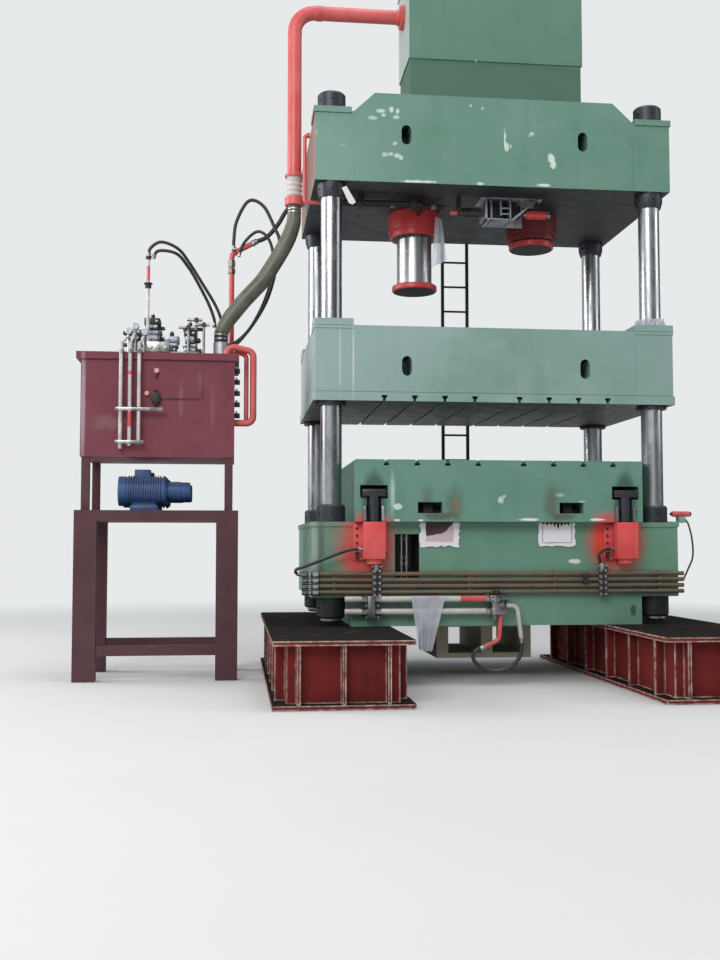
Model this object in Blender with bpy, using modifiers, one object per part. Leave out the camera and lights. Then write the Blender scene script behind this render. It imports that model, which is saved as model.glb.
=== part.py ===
"""Four-column hydraulic press with two rams, a moving bolster, a head tank and its power unit.

Metres, +Z up, +X to the right as seen from the front, +Y to the back. The origin is the centre of
the bolster's work face. The press stands on two ribbed steel stands, as set up in the shop.
"""

import math

import bmesh
import bpy
from mathutils import Vector

# Clearances
SEAT = 0.0003  # between two pieces that touch
RUN = 0.001  # round a piece that slides or turns

# Heights, from the floor up
STAND_HEIGHT = 0.564
BED_HEIGHT = 1.008
BED_WING_HEIGHT = 0.732  # over the column nuts, at the two sides
BOLSTER_HEIGHT = 0.598
DIE_SPACE = 0.582  # bolster face to slide face, as the slide hangs
SLIDE_HEIGHT = 0.743
SLIDE_PLATE = 0.085
SLIDE_PAD = 0.065
DAYLIGHT = 2.76  # bolster face to the crown's underside
CROWN_HEIGHT = 0.895
CROWN_WING_HEIGHT = 0.70
CROWN_PAD = 0.04

# Plan sizes of the beams
BEAM_WIDTH = 3.62
BEAM_DEPTH = 2.16
BED_WIDTH = BEAM_WIDTH + 0.04
PLATE_LIP = 0.012  # how far a face plate stands out of its beam
BED_PLATE = 0.045
WING_LEDGE = 0.385  # width of the ledge that the crown's nuts stand on
CROWN_SLOPE = 0.21  # width of the slope between ledge and top
BOLSTER_OVERHANG = 0.14  # beyond the bed's front and back face
BOLSTER_DEPTH = BEAM_DEPTH + 2 * BOLSTER_OVERHANG

# Columns and nuts
COLUMN_RADIUS = 0.105
COLUMN_IN_X = 0.176  # axis inside the beams' end face
COLUMN_IN_Y = 0.145  # axis inside the beams' front or back face
COLUMN_X = BEAM_WIDTH / 2 - COLUMN_IN_X
COLUMN_Y = BEAM_DEPTH / 2 - COLUMN_IN_Y
NUT_RADIUS = 0.14
NUT_HEIGHT = 0.17
NUT_CHAMFER = 0.02
FOOT_NUT_HEIGHT = 0.20
COLUMN_TAIL = 0.045
NUT_HOLE_RADIUS = 0.014
BUSH_WALL = 0.034
BUSH_FLANGE_RADIUS = 0.165
BUSH_FLANGE = 0.035
FOOT_GAP = 0.044  # between the nuts under the bed and the bed's foot
BED_FOOT_WIDTH = 2 * (COLUMN_X - NUT_RADIUS - FOOT_GAP)
BOLSTER_GAP = 0.074  # between the nuts on the bed and the bolster
BOLSTER_WIDTH = 2 * (COLUMN_X - NUT_RADIUS - BOLSTER_GAP)
ROUND_SIDES = 16

# Cylinders and rams
RAM_X = 0.65
RAM_RADIUS = 0.187
RAM_LENGTH = 1.12
BARREL_RADIUS = 0.25
BARREL_END = 0.04  # thickness of the closed end
GLAND_RADIUS = 0.28
GLAND_HEIGHT = 0.27
RAM_FLANGE_RADIUS = 0.242
RAM_FLANGE = 0.065
RAM_REST_GAP = 0.012  # flange below gland, ram fully in
LEFT_RAM_OUT = 0.50  # how far the left ram hangs out

# T-slots for die bolts, along the depth
T_SLOT_PITCH = 0.30
T_SLOT_FIRST = 0.225
T_SLOTS_A_SIDE = 4
T_NECK_WIDTH = 0.030
T_NECK_DEPTH = 0.032
T_HEAD_WIDTH = 0.056
T_HEAD_DEPTH = 0.026

# Obround handling holes in crown and slide
HANDLING_X = 0.90
HANDLING_WIDTH = 0.10
HANDLING_HEIGHT = 0.20
HANDLING_DEPTH = 0.30
CROWN_HANDLING_UP = 0.483  # above the crown's underside
SLIDE_HANDLING_UP = 0.349  # above the slide's face

# Bolster channels, wheels and windows
CLAMP_IN_X = 0.175  # channel's middle inside the bolster's side
CLAMP_X = BOLSTER_WIDTH / 2 - CLAMP_IN_X
CHANNEL_NECK_WIDTH = 0.14
CHANNEL_NECK_HEIGHT = 0.22
CHANNEL_HEAD_WIDTH = 0.27
CHANNEL_HEAD_HEIGHT = 0.13
WHEEL_X = 0.70
WHEEL_IN_Y = 0.10  # axle inside the bed's front or back face
WHEEL_Y = BEAM_DEPTH / 2 - WHEEL_IN_Y
WHEEL_RADIUS = 0.11
WHEEL_WIDTH = 0.10
AXLE_RADIUS = 0.035
WHEEL_BAY_HALF = WHEEL_X + 0.14
AXLE_HALF = WHEEL_BAY_HALF + 0.08
WHEEL_BAY_DEPTH = 0.28
WHEEL_BAY_HEIGHT = 0.25
WINDOW_WIDTH = 0.24
WINDOW_HEIGHT = 0.107
WINDOW_UP = 0.082  # above the bolster's underside

# Bolster clamps
CLAMP_WIDTH = 0.21
CLAMP_DEPTH = 0.195
CLAMP_HEIGHT = 0.355
CLAMP_ROD_RADIUS = 0.055
CLAMP_ROD_IN = 0.20
CLAMP_HEAD_WIDTH = 0.23
CLAMP_HEAD_DEPTH = 0.10
CLAMP_HEAD_HEIGHT = 0.07
CLAMP_LIFT = 0.02  # T-head above the channel's ledge, unclamped
CLAMP_BOSS_RADIUS = 0.07
CLAMP_BOSS = 0.05

# Pipes on the bed's front
BED_PIPE_DROP = 0.503  # uppermost pipe, below the bed's top
BED_PIPE_PITCH = 0.058
BED_PIPE_RADIUS = 0.021
BED_PIPE_OUT = 0.055  # axis in front of the bed's face
BED_PIPE_LEFT = -BED_WIDTH / 2 - 0.10
BED_PIPE_RIGHT = BED_WIDTH / 2 + 0.03
NIPPLE_X = CLAMP_X - 0.235
NIPPLE_HEIGHT = 0.06
CUSHION_DROP = 0.742  # upper cushion pipe, below the bed's top
CUSHION_PITCH = 0.12
CUSHION_OUT = 0.085
CUSHION_VALVE_X = -0.123
CLAMP_PORT_DROP = 0.262  # hose port, below the bolster's underside
HOUSING_LEFT = -0.52
HOUSING_RIGHT = 0.46
HOUSING_DEPTH = 1.10
HOUSING_HEIGHT = 0.365
HOUSING_WALL = 0.05  # above and below its windows

# Bed window
BED_WINDOW_X = -0.905
BED_WINDOW_WIDTH = 0.24
BED_WINDOW_HEIGHT = 0.466
BED_WINDOW_DROP = 0.117  # below the bed's top
BED_WINDOW_DEPTH = 0.45

# Head tank and its pipe
TANK_X = 0.19
TANK_WIDTH = 1.90
TANK_DEPTH = 0.72
TANK_SKIRT = 0.70
TANK_HEIGHT = 1.65
TANK_SET_BACK = 0.015  # of the skirt
PIPE_RADIUS = 0.075
PIPE_X = -BEAM_WIDTH / 2 - 0.145
PIPE_UP = 1.305  # above the crown's top
PIPE_BEND = 0.22
PIPE_FLANGE_RADIUS = 0.13
PIPE_FLANGE = 0.045
PIPE_END_UP = 0.368  # above the crown's underside
JOINT_RADIUS = 0.085
JOINT_HEIGHT = 0.22
JOINT_FLANGE = 0.09
JOINT_FLANGE_RADIUS = 0.105
JOINT_RIBS = 4
HOSE_RADIUS = 0.07
LADDER_OUT = 0.24  # ladder's rails behind the beams' back face

# Valve bracket under the crown
BRACKET_LEFT = -0.02
BRACKET_WIDTH = 0.60
BRACKET_FRONT = -0.72
BRACKET_DEPTH = 0.30
BRACKET_HEIGHT = 0.26
BRACKET_PLATE = 0.012

# Power unit
UNIT_X = -3.345
UNIT_WIDTH = 1.62
UNIT_DEPTH = 1.04
UNIT_DECK_TOP = 1.695
UNIT_DECK = 0.105
UNIT_TANK_BOTTOM = 2.23
UNIT_TANK_TOP = 3.215
UNIT_LID = 0.07
UNIT_TANK_WIDTH = 1.53
UNIT_TANK_DEPTH = 0.98
LEG_WIDTH = 0.22
LEG_DEPTH = 0.14
POST = 0.08
SILL_HEIGHT = 0.10
MOTOR_RADIUS = 0.16
MOTOR_LENGTH = 0.46
PUMP_RADIUS = 0.10
PUMP_LENGTH = 0.26
MOTOR_Y = 0.25
MOTOR_START = -0.40  # of the motor's back end, from the unit's middle
POST_IN = 0.015  # posts inside the tank's outline
RISER_X = UNIT_X + 0.725
RISER_Y = 0.30
SUCTION_X = UNIT_X + 0.619  # of the big hose, on the tank's lid
COLLAR_RADIUS = 0.08
COLLAR_HEIGHT = 0.20
MANIFOLD_DEPTH = 0.32
MANIFOLD_HEIGHT = 0.12
UNIT_PIPE_PITCH = 0.09

# Stands
STAND_INNER_X = BED_FOOT_WIDTH / 2 - 0.38
STAND_WIDTH = 1.19
STAND_FRONT_Y = -2.65
STAND_BACK_Y = 1.30
STAND_PLATE = 0.04
STAND_SET_BACK = 0.12
STAND_RIB = 0.03

# Levels and places that follow from the sizes
BED_TOP = -BOLSTER_HEIGHT - SEAT
BED_BOTTOM = BED_TOP - BED_HEIGHT
BED_WING_BOTTOM = BED_TOP - BED_WING_HEIGHT
FLOOR = BED_BOTTOM - SEAT - STAND_HEIGHT
SLIDE_BOTTOM = DIE_SPACE
SLIDE_TOP = SLIDE_BOTTOM + SLIDE_HEIGHT
CROWN_BOTTOM = DAYLIGHT
CROWN_TOP = CROWN_BOTTOM + CROWN_HEIGHT
CROWN_WING_TOP = CROWN_BOTTOM + CROWN_WING_HEIGHT
FRONT = -BEAM_DEPTH / 2
CORNERS = {
    "front_left": (-1, -1),
    "front_right": (1, -1),
    "back_left": (-1, 1),
    "back_right": (1, 1),
}

for old in list(bpy.data.objects):
    bpy.data.objects.remove(old, do_unlink=True)


def collection(name):
    made = bpy.data.collections.new(name)
    bpy.context.scene.collection.children.link(made)
    return made


PARTS = collection("hydraulic_press")
CUTTERS = collection("cutters")


def add(name, data, place=(0, 0, 0)):
    """A new object in the press's collection."""
    made = bpy.data.objects.new(name, data)
    made.location = place
    PARTS.objects.link(made)
    return made


def tool(obj):
    """Makes an object a helper that only shapes others."""
    PARTS.objects.unlink(obj)
    CUTTERS.objects.link(obj)
    obj.hide_render = True
    obj.display_type = "WIRE"
    return obj


def finish(obj, color, roughness, metallic=0.0):
    """Gives an object a paint or metal of its own."""
    made = bpy.data.materials.new(obj.name + "_finish")
    made.use_nodes = True
    shader = made.node_tree.nodes["Principled BSDF"]
    shader.inputs["Base Color"].default_value = (*color, 1)
    shader.inputs["Roughness"].default_value = roughness
    shader.inputs["Metallic"].default_value = metallic
    made.diffuse_color = (*color, 1)
    obj.data.materials.clear()
    obj.data.materials.append(made)
    return obj


def block(name, x, y, z):
    """A box between two values on each axis."""
    shape = bmesh.new()
    bmesh.ops.create_cube(shape, size=1)
    size = Vector((x[1] - x[0], y[1] - y[0], z[1] - z[0]))
    bmesh.ops.scale(shape, vec=size, verts=shape.verts)
    mesh = bpy.data.meshes.new(name)
    shape.to_mesh(mesh)
    shape.free()
    return add(name, mesh, [(a + b) / 2 for a, b in (x, y, z)])


def rod(name, start, end, radius, sides=ROUND_SIDES):
    """A round bar between two points."""
    start, end = Vector(start), Vector(end)
    shape = bmesh.new()
    bmesh.ops.create_cone(
        shape,
        cap_ends=True,
        segments=sides,
        radius1=radius,
        radius2=radius,
        depth=(end - start).length,
    )
    turn = (end - start).to_track_quat("Z", "Y").to_matrix().to_4x4()
    bmesh.ops.transform(shape, matrix=turn, verts=shape.verts)
    mesh = bpy.data.meshes.new(name)
    shape.to_mesh(mesh)
    shape.free()
    mesh.shade_smooth()
    mesh.set_sharp_from_angle(angle=math.radians(40))
    return add(name, mesh, (start + end) / 2)


def turned(name, profile, place, closed=False, sides=ROUND_SIDES, along="Z"):
    """A profile of radius and height, top to bottom on its outer side, turned about its axis."""
    mesh = bpy.data.meshes.new(name)
    edges = [(i, i + 1) for i in range(len(profile) - 1)]
    if closed:
        edges.append((len(profile) - 1, 0))
    mesh.from_pydata([(radius, 0, height) for radius, height in profile], edges, [])
    made = add(name, mesh, place)
    screw = made.modifiers.new("Turn", "SCREW")
    screw.steps = screw.render_steps = sides
    screw.use_merge_vertices = True
    screw.merge_threshold = 0.00001
    screw.use_smooth_shade = False
    if along == "X":
        made.rotation_euler = (0, math.radians(90), 0)
    return made


def outline(name, points, half_thickness, y=0.0):
    """A flat outline in X and Z, standing upright, with its thickness along Y."""
    curve = bpy.data.curves.new(name, "CURVE")
    curve.dimensions = "2D"
    curve.fill_mode = "BOTH"
    curve.extrude = half_thickness
    spline = curve.splines.new("POLY")
    spline.points.add(len(points) - 1)
    for point, (x, z) in zip(spline.points, points):
        point.co = (x, z, 0, 1)
    spline.use_cyclic_u = True
    made = add(name, curve, (0, y, 0))
    made.rotation_euler = (math.radians(90), 0, 0)
    return meshed(made, flat=True)


def meshed(curve_object, flat=False):
    """The same shape as a welded mesh, in place of a curve; flat faces become one face each."""
    name = curve_object.name
    bpy.context.view_layer.update()
    graph = bpy.context.evaluated_depsgraph_get()
    mesh = bpy.data.meshes.new_from_object(curve_object.evaluated_get(graph))
    matrix = curve_object.matrix_world.copy()
    bpy.data.objects.remove(curve_object, do_unlink=True)
    shape = bmesh.new()
    shape.from_mesh(mesh)
    bmesh.ops.remove_doubles(shape, verts=shape.verts, dist=0.00001)
    if flat:
        bmesh.ops.dissolve_limit(shape, angle_limit=0.001, edges=shape.edges)
    bmesh.ops.recalc_face_normals(shape, faces=shape.faces)
    shape.to_mesh(mesh)
    shape.free()
    made = add(name, mesh)
    made.matrix_world = matrix
    return made


def tube(name, points, radius, resolution=1):
    """A round tube, pipe or hose along points."""
    curve = bpy.data.curves.new(name, "CURVE")
    curve.dimensions = "3D"
    curve.bevel_depth = radius
    curve.bevel_resolution = resolution
    curve.use_fill_caps = True
    spline = curve.splines.new("POLY")
    spline.points.add(len(points) - 1)
    for point, place in zip(spline.points, points):
        point.co = (*place, 1)
    made = meshed(add(name, curve))
    made.data.shade_smooth()
    made.data.set_sharp_from_angle(angle=math.radians(50))
    return made


def elbows(points, bend, steps=3):
    """The points of a pipe run with each inner corner rounded by an arc of radius bend."""
    points = [Vector(point) for point in points]
    run = [points[0]]
    for before, corner, after in zip(points, points[1:], points[2:]):
        first, second = (before - corner).normalized(), (after - corner).normalized()
        half = first.angle(second) / 2
        reach = bend / math.tan(half)
        centre = corner + (first + second).normalized() * (bend / math.sin(half))
        start, end = corner + first * reach - centre, corner + second * reach - centre
        turn = start.angle(end)
        for step in range(steps + 1):
            share = step / steps
            arm = (
                start * math.sin((1 - share) * turn) + end * math.sin(share * turn)
            ) / math.sin(turn)
            run.append(centre + arm)
    run.append(points[-1])
    return run


def smooth_route(points, spacing):
    """Points about this far apart on a smooth curve through the route's own points."""
    points = [Vector(point) for point in points]
    ends = [2 * points[0] - points[1], *points, 2 * points[-1] - points[-2]]
    route = [points[0]]
    for a, b, c, d in zip(ends, ends[1:], ends[2:], ends[3:]):
        steps = max(1, round((c - b).length / spacing))
        for step in range(1, steps + 1):
            t = step / steps
            route.append(
                0.5
                * (
                    2 * b
                    + (c - a) * t
                    + (2 * a - 5 * b + 4 * c - d) * t * t
                    + (3 * b - a - 3 * c + d) * t * t * t
                )
            )
    return route


def hose(name, first, middle, last, radius, spacing=0.05, resolution=2):
    """A hose between two fittings, each given as its face's centre and the way out of it."""
    ends = []
    for centre, out in (first, last):
        out = Vector(out).normalized()
        start = Vector(centre) + out * SEAT
        ends.append((start, start + out * spacing * 0.6))
    (start, after), (end, before) = ends
    route = [start, after, *middle, before, end]
    return tube(name, smooth_route(route, spacing), radius, resolution)


def shape_with(target, others, operation):
    for other in others:
        change = target.modifiers.new(operation.title(), "BOOLEAN")
        change.operation = operation
        change.solver = "EXACT"
        change.object = tool(other)
    return target


def cut(target, *cutters):
    return shape_with(target, cutters, "DIFFERENCE")


def fuse(target, *others):
    return shape_with(target, others, "UNION")


def t_slots(owner, face_z, into, half_length):
    """Cuts the T-slots of a die face; into is 1 where the metal lies above the face, else -1."""
    for number in range(T_SLOTS_A_SIDE):
        for side in (-1, 1):
            x = side * (T_SLOT_FIRST + number * T_SLOT_PITCH)
            neck_end = face_z + into * (T_NECK_DEPTH + T_HEAD_DEPTH / 2)
            head_start = face_z + into * T_NECK_DEPTH
            head_end = head_start + into * T_HEAD_DEPTH
            name = f"{owner.name}_slot_{number}_{'left' if side < 0 else 'right'}"
            y = (-half_length, half_length)
            neck = block(
                name + "_neck",
                (x - T_NECK_WIDTH / 2, x + T_NECK_WIDTH / 2),
                y,
                sorted((face_z - into * 0.01, neck_end)),
            )
            head = block(
                name + "_head",
                (x - T_HEAD_WIDTH / 2, x + T_HEAD_WIDTH / 2),
                y,
                sorted((head_start, head_end)),
            )
            cut(owner, fuse(head, neck))


def handling_holes(owner, z):
    """Obround holes in the front and back face of a beam, open into its cells."""
    straight = HANDLING_HEIGHT - HANDLING_WIDTH
    radius = HANDLING_WIDTH / 2
    points = []
    for end, first in ((1, 0), (-1, 180)):
        for step in range(5):
            angle = math.radians(first + step * 45)
            points.append(
                (
                    radius * math.cos(angle),
                    end * straight / 2 + radius * math.sin(angle),
                )
            )
    for number, x in enumerate((-HANDLING_X, HANDLING_X)):
        for side in (-1, 1):
            hole = outline(
                f"{owner.name}_hole_{number}_{side}",
                [(x + across, z + up) for across, up in points],
                HANDLING_DEPTH,
                side * BEAM_DEPTH / 2,
            )
            cut(owner, hole)


def column_bores(owner, z, radius):
    for name, (x, y) in CORNERS.items():
        place = (x * COLUMN_X, y * COLUMN_Y)
        cut(
            owner, rod(f"{owner.name}_bore_{name}", (*place, z[0]), (*place, z[1]), radius)
        )


GREEN = (0.10, 0.27, 0.19)
PALE_GREEN = (0.21, 0.37, 0.29)
MAROON = (0.16, 0.035, 0.035)
RED = (0.55, 0.05, 0.05)
STEEL = (0.62, 0.62, 0.64)
DARK_STEEL = (0.045, 0.045, 0.055)
BLACK_RUBBER = (0.015, 0.015, 0.017)


def make_stand(name, side):
    """A ribbed steel stand under one end of the bed."""
    x = sorted((side * STAND_INNER_X, side * (STAND_INNER_X + STAND_WIDTH)))
    y = (STAND_FRONT_Y, STAND_BACK_Y)
    top = FLOOR + STAND_HEIGHT
    stand = block(name, x, y, (top - STAND_PLATE, top))
    base = block(name + "_base", x, y, (FLOOR, FLOOR + STAND_PLATE))
    core = block(
        name + "_core",
        (x[0] + STAND_SET_BACK, x[1] - STAND_SET_BACK),
        (y[0] + STAND_SET_BACK, y[1] - STAND_SET_BACK),
        (FLOOR + STAND_PLATE / 2, top - STAND_PLATE / 2),
    )
    fuse(stand, base, core)
    edge = STAND_RIB
    z = (FLOOR + STAND_PLATE / 2, top - STAND_PLATE / 2)
    across_ribs = 3
    for number in range(across_ribs):
        share = (number + 0.5) / across_ribs
        middle = x[0] + edge + share * (x[1] - x[0] - 2 * edge)
        rib = block(
            f"{name}_rib_across_{number}",
            (middle - edge / 2, middle + edge / 2),
            (y[0] + edge, y[1] - edge),
            z,
        )
        fuse(stand, rib)
    along_ribs = 6
    for number in range(along_ribs):
        share = (number + 0.5) / along_ribs
        middle = y[0] + edge + share * (y[1] - y[0] - 2 * edge)
        rib = block(
            f"{name}_rib_along_{number}",
            (x[0] + edge, x[1] - edge),
            (middle - edge / 2, middle + edge / 2),
            z,
        )
        fuse(stand, rib)
    return finish(stand, MAROON, 0.55)


def make_bed():
    """The lower beam: a deep box that is stepped up at its sides, over the column nuts."""
    half, foot = BED_WIDTH / 2, BED_FOOT_WIDTH / 2
    depth = (FRONT, -FRONT)
    bed = block("bed", (-half, half), depth, (BED_WING_BOTTOM, BED_TOP - BED_PLATE / 2))
    base = block("bed_base", (-foot, foot), depth, (BED_BOTTOM, BED_TOP - BED_PLATE))
    plate = block(
        "bed_plate",
        (-half - PLATE_LIP, half + PLATE_LIP),
        (FRONT - PLATE_LIP, -FRONT + PLATE_LIP),
        (BED_TOP - BED_PLATE, BED_TOP),
    )
    fuse(bed, base, plate)
    column_bores(bed, (BED_WING_BOTTOM - 0.1, BED_TOP + 0.1), COLUMN_RADIUS + SEAT)
    window = block(
        "bed_window",
        (BED_WINDOW_X - BED_WINDOW_WIDTH / 2, BED_WINDOW_X + BED_WINDOW_WIDTH / 2),
        (FRONT - 0.1, FRONT + BED_WINDOW_DEPTH),
        (
            BED_TOP - BED_WINDOW_DROP - BED_WINDOW_HEIGHT,
            BED_TOP - BED_WINDOW_DROP,
        ),
    )
    cut(bed, window)
    return finish(bed, GREEN, 0.45)


def make_crown():
    """The upper beam: full height between the columns, with ledges for their nuts."""
    half = BEAM_WIDTH / 2
    ledge = half - WING_LEDGE
    top = ledge - CROWN_SLOPE
    crown = block("crown", (-half, half), (FRONT, -FRONT), (CROWN_BOTTOM, CROWN_WING_TOP))
    hump = [
        (-ledge, CROWN_WING_TOP - 0.1),
        (ledge, CROWN_WING_TOP - 0.1),
        (ledge, CROWN_WING_TOP),
        (top, CROWN_TOP),
        (-top, CROWN_TOP),
        (-ledge, CROWN_WING_TOP),
    ]
    fuse(crown, outline("crown_hump", hump, BEAM_DEPTH / 2))
    for name, (x, y) in CORNERS.items():
        pad = block(
            f"crown_pad_{name}",
            sorted((x * (ledge + 0.02), x * (half + PLATE_LIP))),
            sorted((y * (BEAM_DEPTH / 2 - WING_LEDGE), y * (BEAM_DEPTH / 2 + PLATE_LIP))),
            (CROWN_WING_TOP - CROWN_PAD / 2, CROWN_WING_TOP + CROWN_PAD),
        )
        fuse(crown, pad)
    column_bores(
        crown,
        (CROWN_BOTTOM - 0.1, CROWN_WING_TOP + CROWN_PAD + 0.1),
        COLUMN_RADIUS + SEAT,
    )
    for x in (-RAM_X, RAM_X):
        bore = rod(
            f"crown_barrel_bore_{'left' if x < 0 else 'right'}",
            (x, 0, CROWN_BOTTOM - 0.1),
            (x, 0, CROWN_TOP + 0.1),
            BARREL_RADIUS + SEAT,
        )
        cut(crown, bore)
    handling_holes(crown, CROWN_BOTTOM + CROWN_HANDLING_UP)
    return finish(crown, GREEN, 0.45)


def make_slide():
    """The moving beam, with a wider face plate below and pads over its guides."""
    half = BEAM_WIDTH / 2
    slide = block(
        "slide",
        (-half, half),
        (FRONT, -FRONT),
        (SLIDE_BOTTOM + SLIDE_PLATE / 2, SLIDE_TOP),
    )
    plate = block(
        "slide_plate",
        (-half - PLATE_LIP, half + PLATE_LIP),
        (FRONT - PLATE_LIP, -FRONT + PLATE_LIP),
        (SLIDE_BOTTOM, SLIDE_BOTTOM + SLIDE_PLATE),
    )
    fuse(slide, plate)
    for name, (x, y) in CORNERS.items():
        pad = block(
            f"slide_pad_{name}",
            sorted((x * (half - WING_LEDGE), x * (half + PLATE_LIP / 2))),
            sorted(
                (y * (BEAM_DEPTH / 2 - WING_LEDGE), y * (BEAM_DEPTH / 2 + PLATE_LIP / 2))
            ),
            (SLIDE_TOP - SLIDE_PAD / 2, SLIDE_TOP + SLIDE_PAD),
        )
        fuse(slide, pad)
    column_bores(
        slide,
        (SLIDE_BOTTOM - 0.1, SLIDE_TOP + SLIDE_PAD + 0.1),
        COLUMN_RADIUS + RUN + BUSH_WALL + SEAT,
    )
    t_slots(slide, SLIDE_BOTTOM, 1, BEAM_DEPTH / 2 + 0.1)
    handling_holes(slide, SLIDE_BOTTOM + SLIDE_HANDLING_UP)
    return finish(slide, PALE_GREEN, 0.4)


def make_bush(name, x, y):
    """A flanged guide bush, pressed into the slide from below, that runs on a column."""
    inner = COLUMN_RADIUS + RUN
    outer = inner + BUSH_WALL
    top = SLIDE_TOP + SLIDE_PAD
    low = SLIDE_BOTTOM - SEAT
    profile = [
        (outer, top),
        (outer, low),
        (BUSH_FLANGE_RADIUS, low),
        (BUSH_FLANGE_RADIUS, low - BUSH_FLANGE),
        (inner, low - BUSH_FLANGE),
        (inner, top),
    ]
    bush = turned(name, profile, (x * COLUMN_X, y * COLUMN_Y, 0), closed=True)
    return finish(bush, DARK_STEEL, 0.5, 0.6)


def make_column(name, x, y):
    """A column with the three nuts that carry the bed and the crown on it."""
    r, nut, chamfer = COLUMN_RADIUS, NUT_RADIUS, NUT_CHAMFER
    under_crown = CROWN_BOTTOM - SEAT
    on_bed = BED_TOP + SEAT
    under_bed = BED_WING_BOTTOM - SEAT
    top = CROWN_WING_TOP + CROWN_PAD + NUT_HEIGHT
    profile = [(0, top), (r - chamfer, top), (r, top - chamfer), (r, under_crown)]
    for high, height in (
        (under_crown, NUT_HEIGHT),
        (on_bed + NUT_HEIGHT, NUT_HEIGHT),
        (under_bed, FOOT_NUT_HEIGHT),
    ):
        profile += [
            (r, high),
            (nut, high),
            (nut, high - height + chamfer),
            (nut - chamfer, high - height),
            (r, high - height),
        ]
    low = under_bed - FOOT_NUT_HEIGHT - COLUMN_TAIL
    profile += [(r, low + chamfer), (r - chamfer, low), (0, low)]
    whole = [point for i, point in enumerate(profile) if point != profile[i - 1]]
    column = turned(name, whole, (x * COLUMN_X, y * COLUMN_Y, 0))
    return finish(column, STEEL, 0.15, 1.0)


def make_top_nut(name, x, y):
    """The nut on top of a column, with radial holes for a hook spanner."""
    low = CROWN_WING_TOP + CROWN_PAD + SEAT
    high = low + NUT_HEIGHT
    inner = COLUMN_RADIUS + SEAT
    profile = [
        (NUT_RADIUS - NUT_CHAMFER, high),
        (NUT_RADIUS, high - NUT_CHAMFER),
        (NUT_RADIUS, low),
        (inner, low),
        (inner, high),
    ]
    nut = turned(name, profile, (x * COLUMN_X, y * COLUMN_Y, 0), closed=True)
    middle = (low + high) / 2
    for number in range(4):
        angle = math.radians(45 + 90 * number)
        out = Vector((math.cos(angle), math.sin(angle), 0))
        centre = Vector((x * COLUMN_X, y * COLUMN_Y, middle))
        hole = rod(
            f"{name}_hole_{number}",
            centre + out * (NUT_RADIUS - 0.018),
            centre + out * (NUT_RADIUS + 0.02),
            NUT_HOLE_RADIUS,
            6,
        )
        cut(nut, hole)
    return finish(nut, DARK_STEEL, 0.45, 0.7)


def make_cylinder(name, x):
    """A press cylinder: its barrel fills the crown, and its gland hangs below."""
    gland_top = CROWN_BOTTOM - SEAT
    gland_low = gland_top - GLAND_HEIGHT
    bore = RAM_RADIUS + RUN
    top = CROWN_TOP - SEAT
    profile = [
        (0, top),
        (BARREL_RADIUS, top),
        (BARREL_RADIUS, gland_top),
        (GLAND_RADIUS, gland_top),
        (GLAND_RADIUS, gland_low + 0.07),
        (GLAND_RADIUS - 0.012, gland_low + 0.07),
        (GLAND_RADIUS - 0.012, gland_low),
        (bore, gland_low),
        (bore, top - BARREL_END),
        (0, top - BARREL_END),
    ]
    cylinder = turned(name, profile, (x, 0, 0))
    return finish(cylinder, RED, 0.4)


def make_ram(name, x, out):
    """A chrome ram; out is how far it hangs below its fully drawn-in place."""
    low = CROWN_BOTTOM - SEAT - GLAND_HEIGHT - RAM_REST_GAP - out
    profile = [
        (0, RAM_LENGTH),
        (RAM_RADIUS - 0.01, RAM_LENGTH),
        (RAM_RADIUS, RAM_LENGTH - 0.01),
        (RAM_RADIUS, 0),
        (0, 0),
    ]
    return finish(turned(name, profile, (x, 0, low)), STEEL, 0.12, 1.0)


def make_ram_flange(name, x, out):
    """The thrust plate at the ram's lower end."""
    top = CROWN_BOTTOM - SEAT - GLAND_HEIGHT - RAM_REST_GAP - out - SEAT
    r = RAM_FLANGE_RADIUS
    profile = [
        (0, 0),
        (r - 0.012, 0),
        (r, -0.012),
        (r, -RAM_FLANGE + 0.008),
        (r - 0.008, -RAM_FLANGE),
        (0, -RAM_FLANGE),
    ]
    return finish(turned(name, profile, (x, 0, top)), RED, 0.4)


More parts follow.
